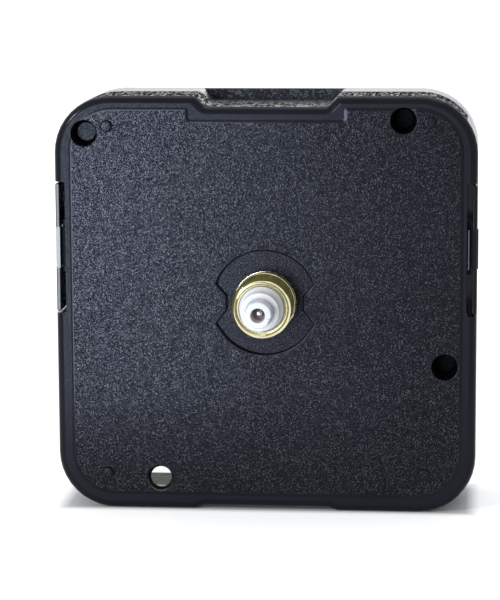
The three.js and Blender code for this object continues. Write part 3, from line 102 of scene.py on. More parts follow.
class Tint(Enum):
    """Plain colours of the finishes, as linear red, green and blue."""

    CASE = (0.0055, 0.0058, 0.0080)
    COVER = (0.009, 0.009, 0.010)
    # GLOSS tints the plastics' reflections bluish, like the light around the object: painted colour of the
    # light.
    GLOSS = (0.79, 0.82, 1.0)
    BRASS = (0.88, 0.83, 0.58)
    # THREAD and FACE are brass darkened to stand in for dark reflections: painted shade.
    THREAD = (0.095, 0.09, 0.032)
    FACE = (0.17, 0.155, 0.08)
    WHITE = (0.745, 0.75, 0.77)
    BORE = (0.42, 0.36, 0.35)
    NATURAL = (0.70, 0.66, 0.53)
    GREY = (0.48, 0.51, 0.54)
    STEEL = (0.62, 0.63, 0.65)
    NICKEL = (0.66, 0.64, 0.58)
    IRON = (0.50, 0.48, 0.43)
    MAGNET = (0.10, 0.10, 0.11)
    COPPER = (0.62, 0.24, 0.09)
    BOARD = (0.36, 0.20, 0.07)
    EPOXY = (0.006, 0.006, 0.007)
    KNOB = (0.016, 0.016, 0.018)


NOISE_SIZE = 0.6  # blotches of a noise pattern of scale 1 are about this wide
SPREAD = (0.3, 0.7)  # the stretch that holds nearly all values of a noise pattern


class Graph:
    """The node graph of a material or of the surroundings, with short calls to fill it."""

    def __init__(self, owner: bpy.types.ID, shader: str) -> None:
        """Starts at the shader that the owner brings along."""
        owner.use_nodes = True
        self.owner = owner
        self.nodes, self.links = owner.node_tree.nodes, owner.node_tree.links
        self.shader = self.nodes[shader]

    def add(self, kind: str, values: Inputs | None = None, **settings: object) -> bpy.types.Node:
        """Adds a node.

        Args:
            kind: Blender's name of the node type.
            values: Its inputs by name or number, each with a plain value or an output to link.
            settings: Options of the node by name.

        Returns:
            The new node.
        """
        node = self.nodes.new(kind)
        for key, value in settings.items():
            setattr(node, key, value)
        self.feed(node, values or {})
        return node

    def feed(self, node: bpy.types.Node, values: Inputs) -> None:
        """Sets or links inputs of a node, which are given by name or number."""
        for key, value in values.items():
            if isinstance(value, bpy.types.NodeSocket):
                self.links.new(value, node.inputs[key])
            else:
                node.inputs[key].default_value = value

    def ramp(self, value: object, low: float, high: float, start: float = 0.0, end: float = 1.0) -> object:
        """Maps a value from the stretch between low and high to the stretch between start and end."""
        values = {"Value": value, "From Min": low, "From Max": high, "To Min": start, "To Max": end}
        return self.add("ShaderNodeMapRange", values, clamp=True).outputs["Result"]

    def math(self, operation: str, *values: object) -> object:
        """The result of a calculation with one to three values."""
        return self.add("ShaderNodeMath", dict(enumerate(values)), operation=operation).outputs[0]

    def seen(self) -> object:
        """One for what the camera, gloss and glass see, and zero for light on its way elsewhere."""
        path = self.add("ShaderNodeLightPath").outputs
        glossy = self.math("MAXIMUM", path["Is Camera Ray"], path["Is Glossy Ray"])
        return self.math("MAXIMUM", glossy, path["Is Transmission Ray"])


class Surface(Graph):
    """The node graph of one material, with patterns in the object's own coordinates."""

    def __init__(self, name: str) -> None:
        """Starts a material with one surface shader."""
        super().__init__(bpy.data.materials.new(name), "Principled BSDF")
        self.place = self.add("ShaderNodeTexCoord").outputs["Object"]

    def noise(self, grain: float, detail: float = 3.0, rough: float = 0.55, place: object = None) -> object:
        """A noise pattern whose blotches are about that many millimetres across."""
        values = {"Vector": place or self.place, "Scale": NOISE_SIZE / (grain * MM), "Detail": detail}
        return self.add("ShaderNodeTexNoise", values | {"Roughness": rough}).outputs["Fac"]

    def mix(self, share: object, first: object, second: object) -> object:
        """A colour between two, each a linear triple or an output."""
        first, second = ((*value, 1.0) if isinstance(value, tuple) else value for value in (first, second))
        return self.add("ShaderNodeMix", {0: share, 6: first, 7: second}, data_type="RGBA").outputs[2]

    def bump(self, height: object, depth: float, strength: float = 1.0, under: object = None) -> object:
        """A bumped normal, with the depth of the relief in millimetres."""
        values = {"Height": height, "Distance": depth * MM, "Strength": strength}
        return self.add("ShaderNodeBump", values | ({"Normal": under} if under else {})).outputs["Normal"]

    def mapped(self, **values: Point3) -> object:
        """Coordinates with another Scale or Rotation, which stretches or turns the patterns in them."""
        return self.add("ShaderNodeMapping", {"Vector": self.place} | values).outputs[0]

    def turned(self) -> object:
        """Coordinates that are the same all round the hand shafts: radius, depth."""
        middle = tuple(placed(0.0, 0.0, 0.0))
        shift = self.add("ShaderNodeVectorMath", {0: self.place, 1: middle}, operation="SUBTRACT").outputs[0]
        parts = self.add("ShaderNodeSeparateXYZ", {0: shift}).outputs
        squares = [self.math("MULTIPLY", parts[i], parts[i]) for i in (0, 2)]
        radius = self.math("SQRT", self.math("ADD", *squares))
        return self.add("ShaderNodeCombineXYZ", {0: radius, 1: parts[1]}).outputs[0]

    def finished(self, **values: object) -> bpy.types.Material:
        """Feeds the surface shader, with underscores for spaces in socket names, and returns the material."""
        self.feed(self.shader, {key.replace("_", " "): value for key, value in values.items()})
        return self.owner


@dataclass(frozen=True)
class SparkPlastic:
    """Black plastic from a spark-eroded mould: fine, crisp dots, lighter in the colour as painted glints,
    with painted shade in the reflection of the hollows, and a few that catch the light.
    """

    name: str
    tint: Point3
    grain: float  # width of the dots
    depth: float  # height of the relief
    gloss: Point  # roughness of the dots and of the ground between them
    painted_glint: float  # brightness of the dots in the colour: painted glints
    level: float  # strength of the reflection
    cover: float = 0.6  # value of the pattern from which dots show
    points: float = 0.0  # height of the few steep points
    drag: float = 1.0  # below one, the dots are long in the depth of the case
    hollow_painted_shade: float = 1.0  # how much the hollows reflect: painted shade in the hollows

    def build(self) -> bpy.types.Material:
        """Makes the material: dots in the relief and the gloss, painted glints in the colour, painted shade
        in the reflection of the hollows, and a few steep points.
        """
        g = Surface(self.name)
        g.place = g.mapped(Scale=(1.0, self.drag, 1.0))
        crisp, slow = g.noise(self.grain, 1.0, 0.5), g.noise(self.grain * 4.0, 2.0)
        relief = g.math("MULTIPLY_ADD", slow, 0.35, crisp)
        gloss = g.ramp(relief, 0.56, 0.80, *reversed(self.gloss))
        ground = g.mix(g.ramp(g.noise(9.0, 2.0), *SPREAD), scaled(self.tint, 0.6), self.tint)
        # Light dots in the colour: painted glints.
        painted_glint_dots = g.ramp(g.math("MULTIPLY_ADD", slow, 0.3, crisp), self.cover + 0.15, self.cover + 0.24)
        colour = g.mix(painted_glint_dots, ground, (self.painted_glint, self.painted_glint, self.painted_glint * 1.08))
        sheen, under = (*Tint.GLOSS.value, 1.0), None
        if self.points:
            under = g.bump(g.ramp(g.noise(self.grain * 1.3, 0.0), 0.66, 0.76), self.points)
        # A dimmer reflection tint in the hollows: painted shade.
        if self.hollow_painted_shade < 1.0:
            sheen = g.mix(g.ramp(crisp, 0.38, 0.62), scaled(Tint.GLOSS.value, self.hollow_painted_shade), Tint.GLOSS.value)
        return g.finished(Base_Color=colour, Roughness=gloss, Specular_IOR_Level=self.level,
                          Specular_Tint=sheen, Normal=g.bump(relief, self.depth, under=under))


@dataclass(frozen=True)
class SmoothPlastic:
    """Moulded plastic with a smooth skin: faint flow marks, dust and fine scratches."""

    name: str
    tint: Point3
    roughness: float
    waviness: float = 0.004  # height of the relief
    level: float = 0.45  # strength of the reflection
    glow: float = 0.0  # share of the light that spreads under the skin

    def build(self) -> bpy.types.Material:
        """Makes the material: slow waves in the skin, a little dust and fine scratches."""
        g = Surface(self.name)
        waves, skin = g.noise(3.5, 2.0), g.noise(0.35, 3.0)
        scratches = g.noise(0.09, 2.0, 0.5, g.mapped(Scale=(1.0, 1.0, 0.08)))
        dust = g.ramp(g.noise(0.5, 4.0, 0.7), 0.66, 0.78, 0.0, 0.25)
        pale = tuple(min(1.0, v * 1.15 + 0.012) for v in self.tint)
        colour = g.mix(dust, g.mix(g.ramp(waves, *SPREAD), scaled(self.tint, 0.9), self.tint), pale)
        # Scratches and skin vary the gloss: real wear.
        wear_and_painted_highlight = g.math("MULTIPLY_ADD", scratches, 0.5, skin)
        if self.glow:
            g.finished(Subsurface_Weight=self.glow, Subsurface_Radius=(0.0012, 0.0011, 0.0010))
        return g.finished(Base_Color=colour, Specular_IOR_Level=self.level,
                          Roughness=g.ramp(wear_and_painted_highlight, 0.4, 1.0, self.roughness * 0.75, self.roughness * 1.3),
                          Normal=g.bump(skin, self.waviness, 0.6, g.bump(waves, self.waviness * 6, 0.5)))


@dataclass(frozen=True)
class Metal:
    """Bare metal with fine lines and a faint tarnish or small stains.

    The lines run round the hand shafts where it comes from a lathe, and one way where it is rolled.
    """

    name: str
    tint: Point3
    roughness: float
    along: Point3 | None = (0.05, 1.0, 1.0)

    def build(self) -> bpy.types.Material:
        """Makes the material: lines in the relief, and a tarnish or stains in the colour and the gloss."""
        g = Surface(self.name)
        if self.along is None:
            lines, stains, depth = g.noise(0.06, 2.0, 0.5, g.turned()), g.noise(1.1, 4.0, 0.6), (0.003, 1.0)
            spread, dull = (0.35, 0.75, 0.0, 0.6), tuple(v * f for v, f in zip(self.tint, (0.72, 0.66, 0.55)))
        else:
            lines, stains = g.noise(0.07, 3.0, 0.6, g.mapped(Scale=self.along)), g.noise(1.6, 5.0, 0.65)
            spread, dull, depth = (0.4, 0.75, 0.0, 0.55), scaled(self.tint, 0.7), (0.004, 0.8)
        gloss = g.ramp(g.math("MULTIPLY_ADD", lines, 0.6, stains), 0.5, 1.1, self.roughness * 0.7,
                       self.roughness * 1.5)
        return g.finished(Base_Color=g.mix(g.ramp(stains, *spread), self.tint, dull), Metallic=1.0,
                          Roughness=gloss, Normal=g.bump(lines, *depth))


@dataclass(frozen=True)
class WoundWire:
    """Turns of fine enamelled wire laid side by side along x."""

    name: str
    tint: Point3
    pitch: float = 0.11

    def build(self) -> bpy.types.Material:
        """Makes the material: rounded wires in the relief, with slightly crossed layers."""
        g = Surface(self.name)
        values = {"Vector": g.mapped(Rotation=(0.0, 0.02, 0.03)), "Scale": TURN / (20 * self.pitch * MM),
                  "Distortion": 0.6, "Detail": 1.0}
        wires = g.add("ShaderNodeTexWave", values, wave_type="BANDS", bands_direction="X",
                      wave_profile="SIN").outputs["Fac"]
        colour = g.mix(g.ramp(wires, 0.0, 0.5), scaled(self.tint, 0.3), self.tint)
        return g.finished(Base_Color=colour, Metallic=0.8, Roughness=0.32, Coat_Weight=0.5,
                          Coat_Roughness=0.2, Normal=g.bump(wires, 0.03))


@dataclass(frozen=True)
class Laminate:
    """Resin-bonded paper board: brown, with a fibrous grain."""

    name: str
    tint: Point3

    def build(self) -> bpy.types.Material:
        """Makes the material: long fibres in the colour and a faint weave in the relief."""
        g = Surface(self.name)
        fibres, clouds = g.noise(0.2, 5.0, 0.7, g.mapped(Scale=(0.2, 1.0, 1.0))), g.noise(3.0, 3.0)
        colour = g.mix(g.ramp(fibres, *SPREAD), scaled(self.tint, 0.72), self.tint)
        colour = g.mix(g.ramp(clouds, *SPREAD, 0.0, 0.4), colour, scaled(self.tint, 1.25))
        return g.finished(Base_Color=colour, Roughness=g.ramp(fibres, *SPREAD, 0.35, 0.55),
                          Normal=g.bump(fibres, 0.006, 0.6))


BLACK = Tint.CASE.value
FINISHES = {finish.name: finish for finish in (
    SparkPlastic("case_grain", BLACK, 0.09, 0.022, (0.1, 0.32), 0.05, 0.2, points=0.02, hollow_painted_shade=0.18),
    SparkPlastic("case_skin", BLACK, 0.16, 0.002, (0.13, 0.2), 0.006, 0.16),
    SparkPlastic("border_skin", BLACK, 0.16, 0.002, (0.3, 0.42), 0.006, 0.13),
    SparkPlastic("case_frost", BLACK, 0.24, 0.02, (0.22, 1.0), 0.04, 0.02, 0.56, drag=0.25),
    SparkPlastic("notch_frost", BLACK, 0.24, 0.02, (0.16, 1.0), 0.05, 0.14, 0.53, drag=0.3),
    SparkPlastic("notch_wall", BLACK, 0.2, 0.02, (0.3, 0.6), 0.06, 0.3, 0.55),
    # Darker and duller in the holes and on the deep faces seen through them: painted shade.
    SparkPlastic("hole_dark", scaled(BLACK, 0.4), 0.2, 0.004, (0.5, 0.7), 0.003, 0.04),
    SmoothPlastic("latch_skin", BLACK, 0.13, 0.002, 0.12),
    # Lighter copies of the latch's black for the left latch, brightest round its window: painted sheen and
    # painted highlight.
    SmoothPlastic("latch_rubbed", scaled(BLACK, 2.0), 0.14, 0.002, 0.28),
    SmoothPlastic("latch_worn", scaled(BLACK, 3.0), 0.13, 0.002, 0.48),
    SmoothPlastic("bay_skin", BLACK, 0.5, 0.003, 0.15),
    SmoothPlastic("cover_gloss", Tint.COVER.value, 0.16, 0.002, 0.36),
    SmoothPlastic("post_bore", Tint.BORE.value, 0.3, level=0.4),
    SmoothPlastic("white_acetal", Tint.WHITE.value, 0.38, glow=0.6),
    SmoothPlastic("natural_acetal", Tint.NATURAL.value, 0.4, glow=0.12),
    SmoothPlastic("plate_grey", Tint.GREY.value, 0.35),
    SmoothPlastic("knob_black", Tint.KNOB.value, 0.42, 0.006),
    SmoothPlastic("epoxy_drop", Tint.EPOXY.value, 0.16, 0.01, 0.5),
    # Darker brass on the thread and the face: painted shade.
    Metal("thread_brass", Tint.THREAD.value, 0.26, None),
    Metal("face_brass", Tint.FACE.value, 0.24, None),
    Metal("bright_brass", Tint.BRASS.value, 0.14, None),
    Metal("pin_steel", Tint.STEEL.value, 0.2, None),
    Metal("magnet_sinter", Tint.MAGNET.value, 0.5, (1.0, 1.0, 1.0)),
    Metal("stator_iron", Tint.IRON.value, 0.36),
    Metal("contact_nickel", Tint.NICKEL.value, 0.28, (1.0, 1.0, 0.06)),
    Metal("crystal_can", Tint.STEEL.value, 0.16, (0.1, 1.0, 1.0)),
    WoundWire("coil_wire", Tint.COPPER.value),
    Laminate("phenolic", Tint.BOARD.value),
)}


@cache
def material(name: str) -> bpy.types.Material:
    """The material of a finish, built at its first use."""
    return FINISHES[name].build()


STRAIGHT = 1e-6  # sides that turn by less than this run on in one line
LEAST_RADIUS = 0.004  # what an inset leaves of a corner's radius at least
ON_AXIS = 1e-6  # points nearer to the axis than this lie on it
WELD = 1e-5  # corners nearer than this become one
FLAT_AREA = 4.0  # faces above this many square millimetres are shaded flat
NORMAL_WEIGHT = 90  # how much large faces count in the shading of their edges
CASE_SHARP = 13.0  # edges of the case that bend more than this many degrees stay sharp
FLAT, LEVEL = 0.9, 0.999  # faces whose normal has more than this along an axis lie nearly or wholly across it
ABOVE = 1.0  # what is cut from the panel reaches this high


@dataclass(frozen=True)
class Outline:
    """A closed outline of straight sides with rounded corners, counter-clockwise.

    Each corner is (x, y, radius). Insets move every side inwards, and the corners follow.
    """

    corners: Sequence[Point3]
    steps: int = 8

    def points(self, inset: float = 0.0) -> list[Point]:
        """The outline moved inwards.

        Args:
            inset: Distance from the nominal outline, inwards.

        Returns:
            The same number of points for every inset.
        """
        places = [np.array(corner[:2]) for corner in self.corners]
        ways = [after - before for before, after in zip(places, places[1:] + places[:1])]
        ways = [way / np.linalg.norm(way) for way in ways]
        made: list[Point] = []
        for i, corner in enumerate(self.corners):
            before, after = ways[i - 1], ways[i]
            bisector = np.array((-before[1], before[0])) + np.array((-after[1], after[0]))
            turn = float(before[0] * after[1] - before[1] * after[0])
            moved = places[i] + bisector * inset * 2 / float(bisector @ bisector)
            made += self._corner(moved, before, after, turn, corner[2] - math.copysign(inset, turn))
        return made

    def _corner(self, at: np.ndarray, before: np.ndarray, after: np.ndarray, turn: float,
                radius: float) -> list[Point]:
        """One rounded corner.

        Args:
            at: Where the two sides meet.
            before: Way of the side that arrives.
            after: Way of the side that leaves.
            turn: Sine of the angle between them, above zero at a corner that stands out.
            radius: Radius of the corner after the inset.

        Returns:
            Points from one side to the other.
        """
        if abs(turn) < STRAIGHT:
            return [tuple(at)] * (self.steps + 1)
        radius = max(radius, LEAST_RADIUS)
        angle = math.atan2(turn, float(before @ after))
        start = at - before * radius * math.tan(abs(angle) / 2)
        centre = start + np.array((-before[1], before[0])) * radius * math.copysign(1.0, turn)
        arm = start - centre
        made = []
        for step in range(self.steps + 1):
            a = angle * step / self.steps
            made.append((float(centre[0] + arm[0] * math.cos(a) - arm[1] * math.sin(a)),
                         float(centre[1] + arm[0] * math.sin(a) + arm[1] * math.cos(a))))
        return made


def rounded_box(x0: float, x1: float, y0: float, y1: float, radius: float, steps: int = 6) -> Outline:
    """A rectangle with rounded corners."""
    return Outline([(x, y, radius) for x, y in ((x0, y0), (x1, y0), (x1, y1), (x0, y1))], steps)


def circle(radius: float, sides: int, x: float = 0.0, y: float = 0.0) -> list[Point]:
    """Points round a circle, counter-clockwise."""
    turns = [TURN * i / sides for i in range(sides)]
    return [(x + radius * math.cos(a), y + radius * math.sin(a)) for a in turns]


def quarter(radius: float, z_end: float, steps: int) -> list[Point]:
    """Pairs of (inset, z) along a rounded edge, from the side to the flat front face at z_end."""
    angles = [math.pi / 2 * i / steps for i in range(steps + 1)]
    return [(radius * (1 - math.cos(a)), z_end - radius + radius * math.sin(a)) for a in angles]


def rear_quarter(radius: float, z_end: float, steps: int) -> list[Point]:
    """Pairs of (inset, z) along a rounded edge, from the flat rear face at z_end to the side."""
    return [(inset, 2 * z_end - z) for inset, z in reversed(quarter(radius, z_end, steps))]


def rounded_end(radius: float, rounding: float, z_end: float, steps: int) -> list[Point]:
    """Pairs of (radius, z) along the rounded front end of something turned."""
    return [(radius - inset, z) for inset, z in quarter(rounding, z_end, steps)]


def show(name: str, data: bpy.types.ID) -> bpy.types.Object:
    """Adds an object to the scene."""
    made = bpy.data.objects.new(name, data)
    bpy.context.scene.collection.objects.link(made)
    return made


class Shape:
    """A closed mesh that is drawn in the dial frame and then shown in the model's frame."""

    def __init__(self, name: str = "tool") -> None:
        """Starts an empty mesh."""
        self.name, self.mesh = name, bmesh.new()

    def loft(self, outline: Outline, levels: Sequence[Point]) -> Solid:
        """Joins copies of an outline.

        Args:
            outline: The outline.
            levels: How far each copy is moved inwards and its z, from back to front.

        Returns:
            The finished solid.
        """
        return self.bridge([self.ring((x, y, z) for x, y in outline.points(inset)) for inset, z in levels])

    def lathe(self, profile: Sequence[Point], sides: int = 96, x: float = 0.0, y: float = 0.0) -> Solid:
        """Turns a closed profile of (radius, z) points about an axis along z.

        Args:
            profile: The profile, which may start and end on the axis.
            sides: Steps round the axis.
            x: Place of the axis.
            y: Place of the axis.

        Returns:
            The finished solid.
        """
        rings = []
        for radius, z in profile:
            on_axis = radius < ON_AXIS
            points = [(x, y)] if on_axis else circle(radius, sides, x, y)
            rings.append(self.ring((px, py, z) for px, py in points) * (sides if on_axis else 1))
        return self.bridge(rings, profile[0][0] > ON_AXIS)

    def wave(self, rows: Sequence[Sequence[Point]], at: Point = (0.0, 0.0), closed: bool = False) -> Solid:
        """Joins rows of (radius, z) points, each evenly spaced round an axis along z.

        Args:
            rows: Rows with the same number of points.
            at: Place of the axis.
            closed: Whether the last row joins the first one.

        Returns:
            The finished solid.
        """
        angles = [TURN * (i / len(rows[0])) for i in range(len(rows[0]))]
        return self.bridge([self.ring((at[0] + r * math.cos(a), at[1] + r * math.sin(a), z)
                                      for (r, z), a in zip(points, angles)) for points in rows], closed)

    def sweep(self, corners: Sequence[Point], low: float, high: float) -> Solid:
        """Draws an outline of (x, z) corners along y, from low to high."""
        return self.bridge([self.ring((x, y, z) for x, z in corners) for y in (low, high)])

    def ring(self, points: Iterable[Point3]) -> list[bmesh.types.BMVert]:
        """Adds a corner at each point."""
        return [self.mesh.verts.new(point) for point in points]

    def bridge(self, rings: Sequence[Sequence[bmesh.types.BMVert]], closed: bool = False) -> Solid:
        """Joins rings of corners and shows the body in the model's frame, with its faces outwards.

        Args:
            rings: Rings with the same number of corners.
            closed: Whether the last ring joins the first one. Else both end in a flat cap.

        Returns:
            The finished solid.
        """
        for first, second in zip(rings, rings[1:]):
            self._band(first, second)
        if closed:
            self._band(rings[-1], rings[0])
        else:
            self._face(rings[0][::-1])
            self._face(rings[-1])
        bmesh.ops.remove_doubles(self.mesh, verts=self.mesh.verts, dist=WELD)
        for vert in self.mesh.verts:
            vert.co = placed(*vert.co)
        bmesh.ops.recalc_face_normals(self.mesh, faces=self.mesh.faces)
        data = bpy.data.meshes.new(self.name)
        self.mesh.to_mesh(data)
        self.mesh.free()
        return show(self.name, data)

    def _band(self, first: Sequence[bmesh.types.BMVert], second: Sequence[bmesh.types.BMVert]) -> None:
        """Joins two rings with four-sided faces."""
        for i in range(len(first)):
            k = (i + 1) % len(first)
            self._face([first[i], first[k], second[k], second[i]])

    def _face(self, corners: Sequence[bmesh.types.BMVert]) -> None:
        """Adds a face, leaving out corners that are the same point."""
        kept = [v for i, v in enumerate(corners) if v is not corners[i - 1]]
        if len(set(kept)) > 2:
            self.mesh.faces.new(kept)


def carve(target: Solid, how: Carve, *tools: Solid) -> Solid:
    """Cuts, joins or keeps a solid with others, which are used up.

    Args:
        target: The solid that changes.
        how: What is done with each tool.
        tools: The other solids.

    Returns:
        The target.
    """
    for tool in tools:
        step = target.modifiers.new("carve", "BOOLEAN")
        step.operation, step.solver, step.object = how.value, "EXACT", tool
        graph, old = bpy.context.evaluated_depsgraph_get(), target.data
        target.data = bpy.data.meshes.new_from_object(target.evaluated_get(graph))
        target.modifiers.clear()
        bpy.data.meshes.remove(old)
        bpy.data.objects.remove(tool)
    return target


def block(x0: float, x1: float, y0: float, y1: float, z0: float, z1: float) -> Solid:
    """A plain block to cut or keep with, between two corners."""
    shape, corners = Shape(), ((x0, y0), (x1, y0), (x1, y1), (x0, y1))
    return shape.bridge([shape.ring((x, y, z) for x, y in corners) for z in (z0, z1)])


def both(make: Callable[[Side], Solid]) -> list[Solid]:
    """The same thing made for either side."""
    return [make(side) for side in Side]


def inherit(node: str, *limits: float) -> Solid:
    """A copy of what a node of the model has between two x, two y and two z values."""
    return carve(show("inherited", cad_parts[node].data.copy()), Carve.KEEP, block(*limits))


Rule = Callable[[Vector, float, float, float], str]


def dress(target: Solid, *finishes: str, rule: Rule | None = None) -> None:
    """Gives a piece its finishes.

    Args:
        target: The piece.
        finishes: Names of its finishes, the first one for all faces where there is no rule.
        rule: Names the finish of a face from its normal and from the x, y and z of its middle on the dial.
    """
    target.data.materials.clear()
    for finish in finishes:
        target.data.materials.append(material(finish))
    for poly in target.data.polygons if rule else ():
        x, y, z = poly.center / MM
        poly.material_index = finishes.index(rule(poly.normal, x, z - SHAFT_Z, PANEL_Y - y))


def put_in_place(made: Solid, body: str, node: str, angle: float = 32.0) -> Solid:
    """Shades a piece smoothly, apart from its large flat faces, and puts it in the place of a node.

    Args:
        made: The piece.
        body: The body that it rides on.
        node: The node that it replaces.
        angle: Edges that bend more than this many degrees stay sharp.

    Returns:
        The piece.
    """
    made.data.set_sharp_from_angle(angle=math.radians(angle))
    for poly in made.data.polygons:
        poly.use_smooth = poly.area < FLAT_AREA * MM * MM
    even = made.modifiers.new("even_shading", "WEIGHTED_NORMAL")
    even.keep_sharp, even.weight = True, NORMAL_WEIGHT
    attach(made, body)
    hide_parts(node)
    return made


def report(name: str, made: Solid) -> None:
    """Logs a finished piece and the number of its faces."""
    LOG.info("%s: %d faces", name, len(made.data.polygons))


@dataclass
class CaseForm:
    """Sizes that the front housing and the rear cover share."""

    half_width: float = 28.0
    top: float = 27.35
    bottom: float = -28.25
    corner: float = 7.6
    wall: float = 1.3
    corner_wall: float = 0.6
    parting: float = -8.6
    edge_break: float = 0.12
    back: float = -16.0
    partition_top: float = -9.45
    partition_bottom: float = -10.65
    bay_half: float = 26.7
    bay_floor: float = -1.3
    chamber_half: float = 26.0
    foot_gap: float = 19.1
    foot_rise: float = 0.45
    foot_slope: float = 1.2
    foot_corner: float = 0.5
    notch_mouth: float = 19.0
    notch_floor: float = 16.1
    notch_drop: float = 1.4
    notch_x: float = 0.2
    notch_corners: Point = (0.8, 0.9)  # radii at the mouth and at the floor
    latch_y: float = 7.15

    def beside(self, side: Side, near: float, far: float, half: float) -> tuple[float, ...]:
        """Two x values on one side and the two y values that a latch or its socket spans."""
        return *side.span(near, far), self.latch_y - half, self.latch_y + half

    def outline(self, notched: bool = True) -> Outline:
        """The case seen from the front, with or without the notch in its top edge."""
        w, gap, mid = self.half_width, self.foot_gap / 2, self.notch_x
        inner, rise, drop = gap - self.foot_slope, self.bottom + self.foot_rise, self.top - self.notch_drop
        mouth, floor = self.notch_mouth / 2, self.notch_floor / 2
        outer_round, inner_round = self.notch_corners
        low, high = self.bottom, self.top
        foot = [(x, y, self.foot_corner) for x, y in ((-gap, low), (-inner, rise), (inner, rise), (gap, low))]
        notch = [(mid + mouth, high, outer_round), (mid + floor, drop, inner_round),
                 (mid - floor, drop, inner_round), (mid - mouth, high, outer_round)]
        ends = [(x, y, self.corner) for x, y in ((w, low), (w, high), (-w, high), (-w, low))]
        return Outline(foot + ends[:2] + (notch if notched else []) + ends[2:], 10)

    def room(self, inset: float, notched: bool, half: float, low: float, high: float, ends: Point) -> Solid:
        """Room in the case: what lies inside the outline at an inset, between two heights and two ends."""
        whole = Shape().loft(self.outline(notched), [(inset, z) for z in ends])
        return carve(whole, Carve.KEEP, block(-half, half, low, high, ends[0] - 1, ends[1] + 1))

    def chamber(self, *ends: float) -> Solid:
        """The room for the train and the motor above the partition."""
        return self.room(self.wall, True, self.chamber_half, self.partition_top, self.top, ends)

    def bay(self, *ends: float) -> Solid:
        """The room for the cell below the partition."""
        low, high = self.bottom + self.wall, self.partition_bottom
        return self.room(self.corner_wall, False, self.bay_half, low, high, ends)


